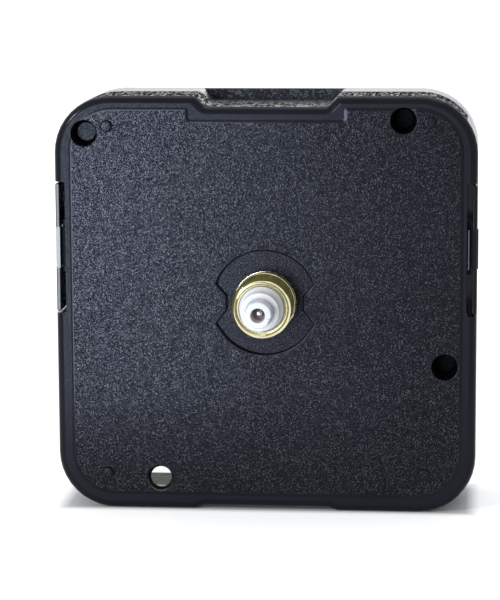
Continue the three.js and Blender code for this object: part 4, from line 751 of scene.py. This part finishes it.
@dataclass
class FrontHousing:
    """The front half of the case, with the raised panel, the recess, the holes and the pips."""

    form: CaseForm
    edge: float = 1.0
    border: float = -0.05
    wall: float = 1.5
    panel: tuple[float, ...] = (-26.1, 26.19, -26.3, 25.88)  # left, right, bottom and top
    panel_corner: float = 5.85
    rim: tuple[Point, ...] = ((0.0, -0.05), (0.1, -0.04), (0.24, -0.018), (0.34, -0.006), (0.46, 0.0))
    step: Point = (-10.01, 10.48)  # from this x to that
    step_drop: float = 1.6
    step_corners: Point = (0.5, 0.35)  # radii at its mouth and at its floor
    recess_radius: float = 6.93
    recess_floor: float = -0.4
    recess_round: float = 0.2
    key_inner: Point3 = (5.05, -0.97, 0.85)  # x and the two ends of the key's inner side
    key_upper: Point = (6.45, 2.45)
    key_lower: Point = (6.51, -2.91)
    groove: Point = (0.14, -0.6)  # its width and the z of its floor
    neck: float = 4.12
    hole_radius: float = 1.72
    hole_round: float = 0.12
    hole_floor: float = 1.2
    hole_neck: float = -0.35
    through_radius: float = 1.41
    through_neck: float = -1.05
    holes: tuple[Point3, ...] = ((-23.95, 22.43, 2.7), (18.24, 24.18, 3.6), (23.82, -8.45, 3.6),
                                 (-14.2, -24.02, 0.0))  # x, y and depth, zero for the one right through
    boss_wall: float = 0.85
    boss_floor: float = 0.8
    pips: tuple[Point, ...] = ((-20.91, 23.39), (21.69, 23.94), (-21.27, -23.37), (21.19, -23.0))
    pip_radius: float = 0.77
    pip_round: float = 0.22
    pip_height: float = 0.5
    socket_wall: float = 26.6
    socket_half: float = 8.8
    catch_half: float = 2.65
    catch_front: float = -1.8
    catch_back: float = -4.4
    catch_foot: Point = (3.5, -8.2)  # half its length and the z of its back
    catch_rise: float = 0.13
    rib: Point = (0.36, -0.62)  # how far it stands out of the wall and the z of its front
    top_edge: float = 24.5
    deep: float = -3.0
    bay_top: float = -20.0

    def shell(self) -> Solid:
        """The outer block with its rounded front edge and the small edge break at the parting line."""
        back, small = self.form.parting, self.form.edge_break
        levels = [(small, back), (0.0, back + small)] + quarter(self.edge, self.border, 9)
        return Shape("front_case").loft(self.form.outline(), levels)

    def panel_block(self) -> Solid:
        """The raised panel with its soft rim and the step below the notch."""
        left, right, bottom, top = self.panel
        start, end = self.step
        low, r, (outer, inner) = top - self.step_drop, self.panel_corner, self.step_corners
        outline = Outline(((left, bottom, r), (right, bottom, r), (right, top, r), (end, top, outer),
                           (end, low, inner), (start, low, inner), (start, top, outer), (left, top, r)), 10)
        return Shape().loft(outline, ((0.0, -self.wall / 2), *self.rim))

    def recess_outline(self) -> Outline:
        """The round recess with the two keys that stand into it, one from each side."""
        x, low, high = self.key_inner
        upper, lower = math.atan2(*self.key_upper[::-1]), math.atan2(*self.key_lower[::-1])
        right = [(*self.key_lower, 0.35), (x, low, 0.4), (x, high, 0.4), (*self.key_upper, 0.35)]
        left = [(-px, py, radius) for px, py, radius in reversed(right)]
        arcs = [self.arc(*ends) for ends in ((upper, math.pi - upper), (math.pi - lower, TURN + lower))]
        return Outline(right + arcs[0] + left + arcs[1], 3)

    def arc(self, start: float, end: float, count: int = 22) -> list[Point3]:
        """Corners that follow the recess's wall between two angles, without those at its ends."""
        step = (end - start) / count
        reach = self.recess_radius / math.cos(step / 2)
        angles = [start + step * i for i in range(1, count)]
        radii = [0.5] + [self.recess_radius] * (count - 3) + [0.5]
        return [(reach * math.cos(a), reach * math.sin(a), radius) for a, radius in zip(angles, radii)]

    def recess(self) -> list[Solid]:
        """What is cut for the recess: the floor with its rounded rim, and the groove along the wall."""
        outline, floor, r = self.recess_outline(), self.recess_floor, self.recess_round
        width, deep = self.groove
        rounded = [(-inset, z - r) for inset, z in quarter(r, r, 9)]
        ring = Shape().loft(outline, [(0.02, deep), (0.0, floor + 0.02)])
        core = Shape().loft(outline, [(width, deep - 0.5), (width, floor + 0.5)])
        cut = Shape().loft(outline, [(0.0, floor)] + rounded + [(-r, ABOVE)])
        return [cut, carve(ring, Carve.CUT, core)]

    def hole(self, x: float, y: float, depth: float) -> Solid:
        """What is cut for one hole: a rounded mouth, and a taper to the floor or through to the cell bay."""
        mouth, small, floor, inner = self.hole_radius, self.hole_round, self.hole_floor, self.through_radius
        low = self.form.bay_floor - 1.0
        blind = [(floor, -depth), (floor + 0.04, -depth + 0.04)]
        below = blind if depth else [(inner, low), (inner, self.through_neck)]
        profile = [(0.0, below[0][1])] + below + [(mouth, self.hole_neck)]
        profile += [(mouth + inset, z) for inset, z in quarter(small, 0.0, 8)]
        return Shape().lathe(profile + [(mouth + small, ABOVE), (0.0, ABOVE)], 64, x, y)

    def boss(self, x: float, y: float, depth: float) -> Solid:
        """The cup behind the front wall round a blind hole."""
        radius, back, front = self.hole_radius + self.boss_wall, -depth - self.boss_floor, -self.wall / 2
        profile = [(0.0, back), (radius - 0.2, back), (radius, back + 0.2), (radius, front), (0.0, front)]
        return Shape().lathe(profile, 48, x, y)

    def pip(self, x: float, y: float) -> Solid:
        """One round pip that the dial rests against, with a rounded top and a fillet at its foot."""
        r, top = self.pip_radius, self.pip_height
        foot = [(0.0, self.border), (r + 0.1, self.border), (r + 0.03, 0.02), (r, 0.09)]
        return Shape().lathe(foot + rounded_end(r, self.pip_round, top, 9) + [(0.0, top)], 48, x, y)

    def catch(self, side: Side) -> Solid:
        """The ramp that a latch of the rear cover snaps over, with the rib in front and the foot under it."""
        y, wall, front, half = self.form.latch_y, self.socket_wall, self.catch_front, self.catch_half
        inner, out = wall - 0.5, self.form.half_width + self.catch_rise
        rib, rib_front, (foot_half, foot_back) = wall + self.rib[0], self.rib[1], self.catch_foot
        ramp = [(inner, self.catch_back), (wall, self.catch_back), (out - 0.15, front - 0.45),
                (out, front - 0.25), (out - 0.06, front), (rib, front), (rib, rib_front),
                (rib - 0.04, rib_front + 0.06), (inner, rib_front - 0.08)]
        made = Shape().sweep([(side.value * x, z) for x, z in ramp], y - half, y + half)
        limits = self.form.beside(side, inner, wall + 0.66, foot_half)
        return carve(made, Carve.JOIN, block(*limits, foot_back, front - 0.3))

    def socket(self, side: Side) -> Solid:
        """The room in the side wall for a latch of the rear cover."""
        limits = self.form.beside(side, self.socket_wall, self.form.half_width + 1.0, self.socket_half)
        return Shape().loft(rounded_box(*limits, 0.25), [(0.0, self.form.parting - 1.0), (0.0, ABOVE)])

    def inner_posts(self) -> Solid:
        """The posts and bearing bosses inside, as the model has them."""
        form, half = self.form, self.form.chamber_half - 0.6
        high = form.top - form.wall - 3.6
        return inherit("front_housing", -half, half, form.partition_top + 0.6, high, form.parting - 8.0,
                       -self.wall + 0.05)

    def finish(self, normal: Vector, x: float, y: float, z: float) -> str:
        """Names a face's finish: grain on the panel, frost on the top edge, painted shade in the holes."""
        facing, notch = -normal.y, self.form.notch_mouth / 2 + 1.2
        near_hole = any(math.hypot(x - hx, y - hy) < self.hole_radius + 0.1 for hx, hy, _ in self.holes)
        in_hole = near_hole and z < self.recess_floor and facing <= FLAT
        if normal.z > 0.35 and y > self.top_edge and z < self.border - self.edge + 0.1:
            return "notch_frost" if abs(x - self.form.notch_x) < notch else "case_frost"
        # Hole walls and the deep faces seen through the holes get a darker, duller finish: painted shade.
        if in_hole or (facing > FLAT and z < self.deep and y > self.bay_top):
            return "hole_dark"
        if facing > LEVEL:
            return "case_grain" if z > -0.01 or abs(z - self.recess_floor) < 0.02 else "border_skin"
        return "case_skin"

    def build(self) -> Solid:
        """Builds the housing and puts it in its node's place."""
        made, back = self.shell(), self.form.parting - 1.0
        carve(made, Carve.CUT, self.form.chamber(back, -self.wall), self.form.bay(back, self.form.bay_floor),
              *both(self.socket))
        bosses = [self.boss(*hole) for hole in self.holes if hole[2]]
        carve(made, Carve.JOIN, self.panel_block(), *bosses, *both(self.catch), self.inner_posts())
        neck = Shape().lathe([(0.0, -4.0), (self.neck, -4.0), (self.neck, ABOVE), (0.0, ABOVE)])
        carve(made, Carve.CUT, *self.recess(), neck, *(self.hole(*hole) for hole in self.holes))
        carve(made, Carve.JOIN, *(self.pip(*pip) for pip in self.pips))
        dress(made, "case_skin", "case_grain", "case_frost", "hole_dark", "notch_frost", "border_skin",
              rule=self.finish)
        return put_in_place(made, "case", "front_housing", CASE_SHARP)


@dataclass
class RearCover:
    """The rear half of the case: cell bay, knob pocket, latches and the nick in its top edge."""

    form: CaseForm
    front: float = -8.7
    inside: float = -14.5
    edge: float = 0.8
    pocket_radius: float = 7.1
    pocket_round: float = 0.25
    pocket_floor: float = -14.15
    boss_back: float = -15.25
    boss_front: float = -12.95
    stem_hole: Point = (1.28, -11.0)  # its radius and where it ends
    nick: Point = (-20.55, -19.19)  # from this x to that
    nick_wall: float = 0.6
    nick_depth: float = 1.5
    nick_drop: float = 0.32
    latch_inner: float = 27.35
    latch_outer: float = 27.92
    latch_half: float = 8.6
    latch_round: float = 0.26
    tip_round: float = 0.14
    latch_tip: float = -0.35
    latch_root: float = -12.6
    latch_bar: float = 1.3
    window_half: float = 2.75
    strip_near: float = 25.55
    strip_far: float = 26.68
    strip_front: float = -12.3

    def shell(self) -> Solid:
        """The outer block with its rounded rear edge, notched in front of its rear wall."""
        small, levels = self.form.edge_break, rear_quarter(self.edge, self.form.back, 8)
        levels += [(0.0, self.inside - 0.1), (0.1, self.inside)]
        wall = Shape("rear_case").loft(self.form.outline(False), levels)
        levels = [(0.0, self.inside - 0.6), (0.0, self.front - small), (small, self.front)]
        return carve(wall, Carve.JOIN, Shape().loft(self.form.outline(), levels))

    def latch(self, side: Side) -> Solid:
        """One arm that reaches forward, with rounded ends and a rounded tip."""
        limits = self.form.beside(side, self.latch_inner, self.latch_outer, self.latch_half)
        levels = [(self.form.edge_break, self.latch_root), (0.0, self.latch_root + 0.3)]
        levels += quarter(self.tip_round, self.latch_tip, 8)
        return Shape().loft(rounded_box(*limits, self.latch_round, 5), levels)

    def window(self, side: Side) -> Solid:
        """The window in an arm that the catch stands in."""
        limits = self.form.beside(side, self.latch_inner - 0.4, self.latch_outer + 0.5, self.window_half)
        return block(*limits, self.front + 0.1, self.latch_tip - self.latch_bar)

    def pocket(self) -> Solid:
        """What is cut for the setting knob and its stem, with a rounded mouth."""
        r, small, floor, back = self.pocket_radius, self.pocket_round, self.pocket_floor, self.form.back
        stem, end = self.stem_hole
        profile = [(0.0, back - 1.0), (r + small, back - 1.0), (r + small, back)]
        profile += [(r + small - small * math.sin(a), back + small - small * math.cos(a))
                    for a in (0.4, 0.8, 1.2, 1.57)]
        profile += [(r, floor - 0.2), (r - 0.2, floor), (stem, floor), (stem, end), (0.0, end)]
        return Shape().lathe(profile, 96, *KNOB_AT)

    def pocket_boss(self) -> Solid:
        """The wall round the knob's pocket, inside."""
        r, back, front = self.pocket_radius + self.form.wall, self.boss_back, self.boss_front
        profile = [(0.0, back), (r, back), (r, front - 0.2), (r - 0.2, front), (0.0, front)]
        return Shape().lathe(profile, 96, *KNOB_AT)

    def nick_block(self) -> Solid:
        """The nick in the top edge, just in front of the rear wall."""
        top, back = self.form.top, self.form.back
        ends = (back + self.nick_wall, back + self.nick_depth)
        return block(*self.nick, top - self.nick_drop, top + 1.0, *ends)

    def strip_slot(self, side: Side) -> Solid:
        """The slot in the partition for a contact's strip."""
        low, high = self.form.partition_bottom - 1.0, self.form.partition_top + 1.0
        return block(*side.span(self.strip_near, self.strip_far), low, high, self.inside, self.strip_front)

    def lead_in(self, side: Side) -> Solid:
        """What is cut off a latch's tip where it runs over the catch."""
        near, far = side.value * (self.latch_inner - 0.1), side.value * (self.latch_outer + 0.2)
        low, high, y = self.latch_tip - 0.05, self.latch_tip + 0.3, self.form.latch_y
        corners = [(near, low), (far, low), (far, high), (near, high)]
        return Shape().sweep(corners, y - self.window_half, y + self.window_half)

    def finish(self, normal: Vector, x: float, y: float, z: float) -> str:
        """Names a face's finish: a painted sheen on the left latch, brighter round its window, grain in the
        notch, a dull bay and gloss elsewhere.
        """
        form, floor = self.form, self.form.top - self.form.notch_drop
        in_notch = y > floor - 0.15 and abs(x - form.notch_x) < form.notch_mouth / 2 - 0.5
        low, high = form.bottom + form.wall - 0.25, form.partition_bottom + 0.1
        in_bay = low < y < high and abs(x) < form.bay_half + 0.2
        if abs(x) > self.latch_inner - 0.05 and z > self.front + 0.01:
            # The left latch, on the key lamp's side, is painted lighter, and lighter still round its window:
            # painted sheen and highlight.
            wear_and_painted_highlight = z > self.latch_tip - 0.2 and abs(y - form.latch_y) < self.window_half - 0.1
            return "latch_skin" if x > 0.0 else "latch_worn" if wear_and_painted_highlight else "latch_rubbed"
        if in_notch and normal.z > FLAT and y < floor + 0.35:
            return "notch_frost"
        if in_notch and -normal.y > FLAT:
            return "notch_wall"
        return "bay_skin" if in_bay and abs(normal.y) < 0.5 else "cover_gloss"

    def build(self) -> Solid:
        """Builds the cover and puts it in its node's place."""
        made, form, inner = self.shell(), self.form, self.front + 1.0
        carve(made, Carve.CUT, form.chamber(self.inside, inner), form.bay(form.back - 1.0, inner))
        carve(made, Carve.JOIN, self.pocket_boss(), *both(self.latch))
        carve(made, Carve.CUT, self.pocket(), self.nick_block(), *both(self.strip_slot), *both(self.window),
              *both(self.lead_in))
        dress(made, "cover_gloss", "latch_skin", "notch_frost", "notch_wall", "bay_skin", "latch_worn",
              "latch_rubbed", rule=self.finish)
        return put_in_place(made, "case", "rear_cover", CASE_SHARP)


@dataclass
class Bushing:
    """The brass bushing: a flange inside the case, and a collar and a thread outside it."""

    flange_radius: float = 5.6
    flange_back: float = -2.2
    flange_front: float = -1.6
    collar_radius: float = 4.04
    collar_end: float = 0.3
    crest: float = 3.95
    depth: float = 0.42
    pitch: float = 0.75
    end: float = 5.35
    face_outer: float = 3.6
    face_inner: float = 3.2
    bore: float = 3.03
    mouth_depth: float = 0.4
    bright_end: float = 0.24
    flank_start: float = 0.88  # where the cut starts, from the root at 0 to the crest at 1
    flank: float = 0.72
    fade_in: float = 0.35
    end_slope: float = 1.3
    sides: int = 144
    rows_per_turn: int = 14

    def thread_radius(self, z: float, turn: float) -> float:
        """Radius of the thread's surface.

        Args:
            z: Height along the bushing.
            turn: Place round it, in turns.

        Returns:
            The radius, with a flat crest, a rounded root, and a run-out at both ends.
        """
        wave = abs(2 * ((z / self.pitch - turn) % 1.0) - 1)
        cut = min(1.0, max(0.0, (self.flank_start - wave) / self.flank))
        cut = cut * cut * (3 - 2 * cut) * 0.35 + cut * 0.65
        fade = min(1.0, max(0.0, (z - self.collar_end - 0.12) / self.fade_in))
        run_out = self.face_outer + 0.01 + (self.end - z) * self.end_slope
        return min(self.crest - self.depth * cut * fade, run_out)

    def finish(self, normal: Vector, x: float, y: float, z: float) -> str:
        """Names a face's finish: bright at the end and on the flange, olive darkened as painted shade on the
        face and the thread.
        """
        rim = math.hypot(x, y)
        if z > self.end - 0.005 and self.face_inner < rim < self.face_outer:
            return "face_brass"
        bright = z > self.end - self.bright_end or rim > self.collar_radius - 0.1
        return "bright_brass" if bright else "thread_brass"

    def build(self) -> Solid:
        """Builds the bushing and puts it in its node's place."""
        flange, collar, crest, bore = self.flange_radius, self.collar_radius, self.crest, self.bore
        low, high, neck, end, small = self.flange_back, self.flange_front, self.collar_end, self.end, 0.1
        below = [(bore, low), (flange - small, low), (flange, low + small), (flange, high - small),
                 (flange - small, high), (crest, high), (crest, -0.45), (collar, -0.4), (collar, neck - 0.12),
                 (collar - 0.06, neck), (crest, neck + 0.02)]
        above = [(self.face_outer, end), (self.face_inner, end), (bore + 0.08, end - 0.04),
                 (bore, end - 0.12), (bore, end - self.mouth_depth)]
        start, top = self.collar_end + 0.06, end - 0.02
        count = round((top - start) / self.pitch * self.rows_per_turn)
        heights = [start + (top - start) * i / count for i in range(count + 1)]
        rows = [[point] * self.sides for point in below]
        rows += [[(self.thread_radius(z, i / self.sides), z) for i in range(self.sides)] for z in heights]
        made = Shape("bushing").wave(rows + [[point] * self.sides for point in above], closed=True)
        dress(made, "thread_brass", "bright_brass", "face_brass", rule=self.finish)
        return put_in_place(made, "case", "threaded_bushing", 38.0)


@dataclass
class HourTube:
    """The hour wheel: its toothed rim as modelled, and the tube that stands out of the bushing."""

    radius: float = 2.97
    seat_radius: float = 2.55
    seat: float = 5.7
    shoulder: float = 0.4
    bore: float = 1.79
    back: float = -3.25
    end: float = 8.1

    def build(self) -> Solid:
        """Builds the wheel and its tube and puts them in the node's place."""
        r, seat, bore, end = self.radius, self.seat_radius, self.bore, self.end
        start = self.seat - self.shoulder
        profile = [(bore, self.back), (r, self.back), (r, start - 0.15), (r - 0.06, start),
                   (seat + 0.04, self.seat), (seat, self.seat + 0.08)] + rounded_end(seat, 0.16, end, 4)
        profile += [(bore + 0.12, end), (bore + 0.03, end - 0.04), (bore, end - 0.14)]
        made = Shape("hour_tube").lathe(profile)
        carve(made, Carve.JOIN, inherit("hour_wheel", -9.0, 9.0, -9.0, 9.0, -4.0, -2.0))
        dress(made, "white_acetal")
        return put_in_place(made, "hour", "hour_wheel")


@dataclass
class MinutePost:
    """The minute post: its pinion as modelled, and the post with its flats and its dark mouth."""

    radius: float = 1.75
    neck_radius: float = 1.5
    neck_end: float = -3.25
    flats: float = 3.1
    flat_length: float = 2.6
    flat_angle: float = -27.0
    mouth: float = 0.93
    mouth_depth: float = 2.4
    bore: float = 0.6

    def post(self) -> Solid:
        """The turned post."""
        r, neck, start, end, mouth = self.radius, self.neck_radius, self.neck_end, MINUTE_REACH, self.mouth
        deep = end - self.mouth_depth
        profile = [(self.bore, start - 0.3), (neck, start - 0.3), (neck, start), (r, start)]
        profile += rounded_end(r, 0.18, end, 5)
        profile += [(mouth + 0.08, end), (mouth, end - 0.08), (mouth - 0.05, deep + 0.1), (self.bore, deep)]
        return Shape("minute_post_body").lathe(profile)

    def flat(self, side: Side) -> Solid:
        """What is cut for one flat, with a sloping run-out."""
        near, far = self.flats / 2, 2 * self.radius
        top, start = MINUTE_REACH + 1.0, MINUTE_REACH - self.flat_length
        cos, sin = math.cos(math.radians(self.flat_angle)), math.sin(math.radians(self.flat_angle))
        corners = [(near, start + 0.25), (near, top), (far, top), (far, start - 1.2)]
        shape = Shape()
        return shape.bridge([shape.ring((side.value * x * cos - w * sin, side.value * x * sin + w * cos, z)
                                        for x, z in corners) for w in (-far, far)])

    def finish(self, normal: Vector, x: float, y: float, z: float) -> str:
        """Names a face's finish: dark in the mouth, white elsewhere."""
        in_mouth = MINUTE_REACH - 4.0 < z < MINUTE_REACH - 0.1 and math.hypot(x, y) < self.mouth + 0.02
        return "post_bore" if in_mouth else "white_acetal"

    def build(self) -> Solid:
        """Builds the post and puts it in its node's place."""
        made = carve(self.post(), Carve.CUT, *both(self.flat))
        carve(made, Carve.JOIN, inherit("minute_post", -3.0, 3.0, -3.0, 3.0, -12.0, self.neck_end - 0.2))
        dress(made, "white_acetal", "post_bore", rule=self.finish)
        return put_in_place(made, "minute", "minute_post")


@dataclass
class SecondsPin:
    """The steel pin that carries the seconds hand, down to the hub of its wheel."""

    radius: float = 0.48
    tip: float = 9.3
    dome: float = 0.4

    def build(self) -> Solid:
        """Builds the pin, with a domed tip, and puts it in its node's place."""
        r, back = self.radius, PANEL_Y - PIN_BOX[1].y / MM
        profile = [(0.0, back), (r - 0.1, back), (r, back + 0.1)] + rounded_end(r, self.dome, self.tip, 8)
        made = Shape("seconds_pin").lathe(profile + [(0.0, self.tip)], 48)
        dress(made, "pin_steel")
        return put_in_place(made, "seconds", "seconds_shaft")


@dataclass
class SettingKnob:
    """The knob at the back that sets the hands: a ridged rim, a dish and a bar across it."""

    radius: float = 6.2
    front: float = -14.5
    back: float = -17.3
    ridges: int = 30
    ridge_depth: float = 0.3
    rim: float = 1.1
    dish: float = 0.9
    bar_half: float = 1.1

    def ridge(self, turn: float) -> float:
        """How far the rim lies inside its outer circle at a place round it, in turns."""
        wave = 0.5 - 0.5 * math.cos(TURN * turn * self.ridges)
        return self.ridge_depth * min(1.0, max(0.0, wave * 1.5 - 0.25))

    def disc(self) -> Solid:
        """The ridged disc with its dish."""
        r, front, back = self.radius, self.front, self.back
        dish, floor = r - self.rim, back + self.dish
        edge = [(r - 0.1, front - 0.1, 1.0), (r, front - 0.3, 1.0), (r, back + 0.3, 1.0),
                (r - 0.06, back + 0.12, 1.0), (r - 0.2, back + 0.02, 0.7)]
        face = [(r - 0.45, back, 0.0), (dish + 0.2, back, 0.0), (dish + 0.05, back + 0.06, 0.0),
                (dish, back + 0.2, 0.0), (dish - 0.05, floor - 0.25, 0.0), (dish - 0.3, floor, 0.0),
                (0.7, floor + 0.05, 0.0)]
        profile = [(0.7, front, 0.0), (r - 0.5, front, 0.0)] + edge + face
        depths = [self.ridge(i / (self.ridges * 10)) for i in range(self.ridges * 10)]
        rows = [[(radius - depth * share, z) for depth in depths] for radius, z, share in profile]
        return Shape("knob").wave(rows, KNOB_AT)

    def bar(self) -> Solid:
        """The bar that finger and thumb turn, with rounded edges."""
        (x, y), reach, half = KNOB_AT, self.radius - self.rim / 2, self.bar_half
        levels = rear_quarter(0.22, self.back, 4) + [(0.0, self.back + self.dish + 0.6)]
        return Shape().loft(rounded_box(x - half, x + half, y - reach, y + reach, 0.3), levels)

    def build(self) -> Solid:
        """Builds the knob and puts it in its node's place."""
        made = carve(self.disc(), Carve.JOIN, self.bar())
        dress(made, "knob_black")
        return put_in_place(made, "setting", "setting_knob")


@dataclass
class Inside:
    """Pieces inside the case that keep the model's shape and get their finish here."""

    title: str
    nodes: dict[str, tuple[str, ...]]
    edge_break: float = 0.04
    edge_angle: float = 50.0

    def build(self) -> None:
        """Dresses each node and breaks its edges a little."""
        pairs = [(finish, node) for finish, nodes in self.nodes.items() for node in nodes]
        for finish, node in pairs:
            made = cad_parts[node]
            dress(made, finish)
            bevel = made.modifiers.new("edge_break", "BEVEL")
            bevel.width, bevel.segments = self.edge_break * MM, 1
            bevel.limit_method, bevel.angle_limit = "ANGLE", math.radians(self.edge_angle)
            report(node, made)
        LOG.info("%s: %d nodes dressed", self.title, len(pairs))


INSIDE = (
    Inside("gear train", {
        "white_acetal": ("motion_wheel", "setting_stem"), "plate_grey": ("train_plate", "train_bridge"),
        "natural_acetal": ("center_wheel", "third_wheel", "seconds_wheel", "intermediate_wheel"),
    }),
    Inside("motor", {
        "white_acetal": ("rotor_pinion",), "magnet_sinter": ("rotor_magnet",), "coil_wire": ("coil_winding",),
        "stator_iron": ("stator", "coil_core"), "natural_acetal": ("coil_bobbin",),
    }),
    Inside("electrics", {
        "phenolic": ("circuit_board",), "crystal_can": ("quartz_crystal",), "epoxy_drop": ("timing_chip",),
        "contact_nickel": ("positive_contact", "negative_contact"),
    }),
)


@dataclass(frozen=True)
class Lamp:
    """A soft rectangular lamp, whose power is the radiance of its face."""

    name: str
    at: Point3
    size: Point
    power: float
    tint: Point3 = (1.0, 1.0, 1.0)
    aim: Point3 = (0.0, 0.0, 0.0)

    def build(self) -> None:
        """Hangs the lamp and points it at its aim."""
        data = bpy.data.lights.new(self.name, "AREA")
        data.shape, data.color = "RECTANGLE", self.tint
        data.size, data.size_y = self.size[0] * MM, self.size[1] * MM
        data.energy = self.power * math.pi * data.size * data.size_y
        made = show(self.name, data)
        made.visible_camera = False
        made.rotation_euler = (placed(*self.aim) - placed(*self.at)).to_track_quat("-Z", "Y").to_euler()
        made.location = placed(*self.at)


@dataclass
class Studio:
    """The pale floor, the soft light and the camera at the photograph's angle."""

    eye: Point3 = (27.974, 51.768, 324.545)
    turns: tuple[tuple[str, float], ...] = (("Z", 0.285), ("X", 8.965), ("Y", -5.272))
    focal: float = 2488.8  # in pixels of a picture that is so wide
    width: int = 500
    sensor: float = 36.0
    lamps: tuple[Lamp, ...] = (
        Lamp("key_left", (-90.0, -15.0, 325.0), (100.0, 150.0), 17.5, (0.80, 0.88, 1.0)),
        Lamp("spark", (-256.0, 155.0, 273.0), (56.0, 56.0), 54.0, (1.0, 0.98, 0.96), (-26.0, 20.0, 0.0)),
        Lamp("top", (0.0, 420.0, -60.0), (420.0, 300.0), 1.25),
        Lamp("back", (0.0, 190.0, -520.0), (500.0, 200.0), 1.2),
    )
    ambient: float = 0.41
    floor_half: float = 3.0  # in metres, like the next one
    floor_front: float = -0.075
    under: Point3 = (26.0, 5.0, 7.0)  # half width, middle and half depth of the painted shadow under the object
    shadow: Point = (0.7, 2.6)  # how far beside it the floor starts to glow and glows in full
    glow: Point = (0.5, 0.7)  # strength of the glow near the object and far from it, weaker near it: painted shade round the object
    glow_reach: Point = (0.07, 0.4)  # the two distances, in metres

    def camera(self) -> None:
        """Places the camera where the photograph was taken from."""
        data = bpy.data.cameras.new("camera")
        data.sensor_fit, data.sensor_width = "HORIZONTAL", self.sensor
        data.lens = self.focal / self.width * data.sensor_width
        data.clip_start, data.clip_end = 0.01, 20.0
        made = show("camera", data)
        roll, pitch, yaw = (Matrix.Rotation(math.radians(angle), 3, axis) for axis, angle in self.turns)
        dial = Matrix(((1, 0, 0), (0, 0, 1), (0, -1, 0)))
        spin = (roll @ pitch @ yaw @ dial).transposed()
        made.matrix_world = Matrix.Translation(placed(*self.eye)) @ spin.to_4x4()
        bpy.context.scene.camera = made

    def world(self) -> None:
        """A pale surrounding that the camera, gloss and glass see as white."""
        bpy.context.scene.world = bpy.data.worlds.new("surroundings")
        g = Graph(bpy.context.scene.world, "Background")
        level = g.ramp(g.seen(), 0.0, 1.0, self.ambient, 1.0)
        g.feed(g.shader, {"Strength": level, "Color": (0.97, 0.985, 1.0, 1.0)})

    def floor(self) -> None:
        """A pale floor that glows where it is seen, apart from a painted shadow under the object, where the
        glow is left out.

        Its front edge lies below the picture and lets the light of the lower key lamp pass.
        """
        half, front, data = self.floor_half, self.floor_front, bpy.data.meshes.new("floor")
        corners = [(-half, front, 0), (half, front, 0), (half, half, 0), (-half, half, 0)]
        data.from_pydata(corners, [], [(0, 1, 2, 3)])
        g = Surface("floor_paper")
        tone = g.mix(g.ramp(g.noise(40.0, 2.0), *SPREAD), (0.90, 0.905, 0.915), (0.92, 0.92, 0.925))
        reach = g.add("ShaderNodeVectorMath", {0: g.place}, operation="LENGTH").outputs["Value"]
        parts = g.add("ShaderNodeSeparateXYZ", {0: g.place}).outputs
        wide, middle, deep = (v * MM for v in self.under)
        aside = g.math("SUBTRACT", g.math("ABSOLUTE", parts[0]), wide)
        ahead = g.math("SUBTRACT", g.math("ABSOLUTE", g.math("SUBTRACT", parts[1], middle)), deep)
        # No glow under the object and less beside it: painted shadow.
        beside = g.ramp(g.math("MAXIMUM", aside, ahead), *(v * MM for v in self.shadow))
        white = g.math("MULTIPLY", beside, g.ramp(reach, *self.glow_reach, *self.glow))
        data.materials.append(g.finished(
            Base_Color=tone, Roughness=0.7, Specular_IOR_Level=0.2, Emission_Color=(0.98, 0.985, 1.0, 1.0),
            Emission_Strength=g.math("MULTIPLY", g.seen(), white)))
        show("floor", data)

    def build(self) -> None:
        """Sets up the floor, the light and the camera."""
        self.floor()
        self.world()
        for lamp in self.lamps:
            lamp.build()
        self.camera()
        bpy.context.scene.view_settings.view_transform = "Standard"
        LOG.info("the set is ready")


def main() -> None:
    """Builds, dresses and reports every piece, then the set and the camera."""
    logging.basicConfig(level=logging.INFO, format="%(name)s: %(message)s")
    form = CaseForm()
    pieces = {
        "front housing": FrontHousing(form), "rear cover": RearCover(form), "bushing": Bushing(),
        "hour tube": HourTube(), "minute post": MinutePost(), "seconds pin": SecondsPin(),
        "setting knob": SettingKnob(),
    }
    for name, piece in pieces.items():
        report(name, piece.build())
    for group in INSIDE:
        group.build()
    Studio().build()


if __name__ == "__main__":
    main()
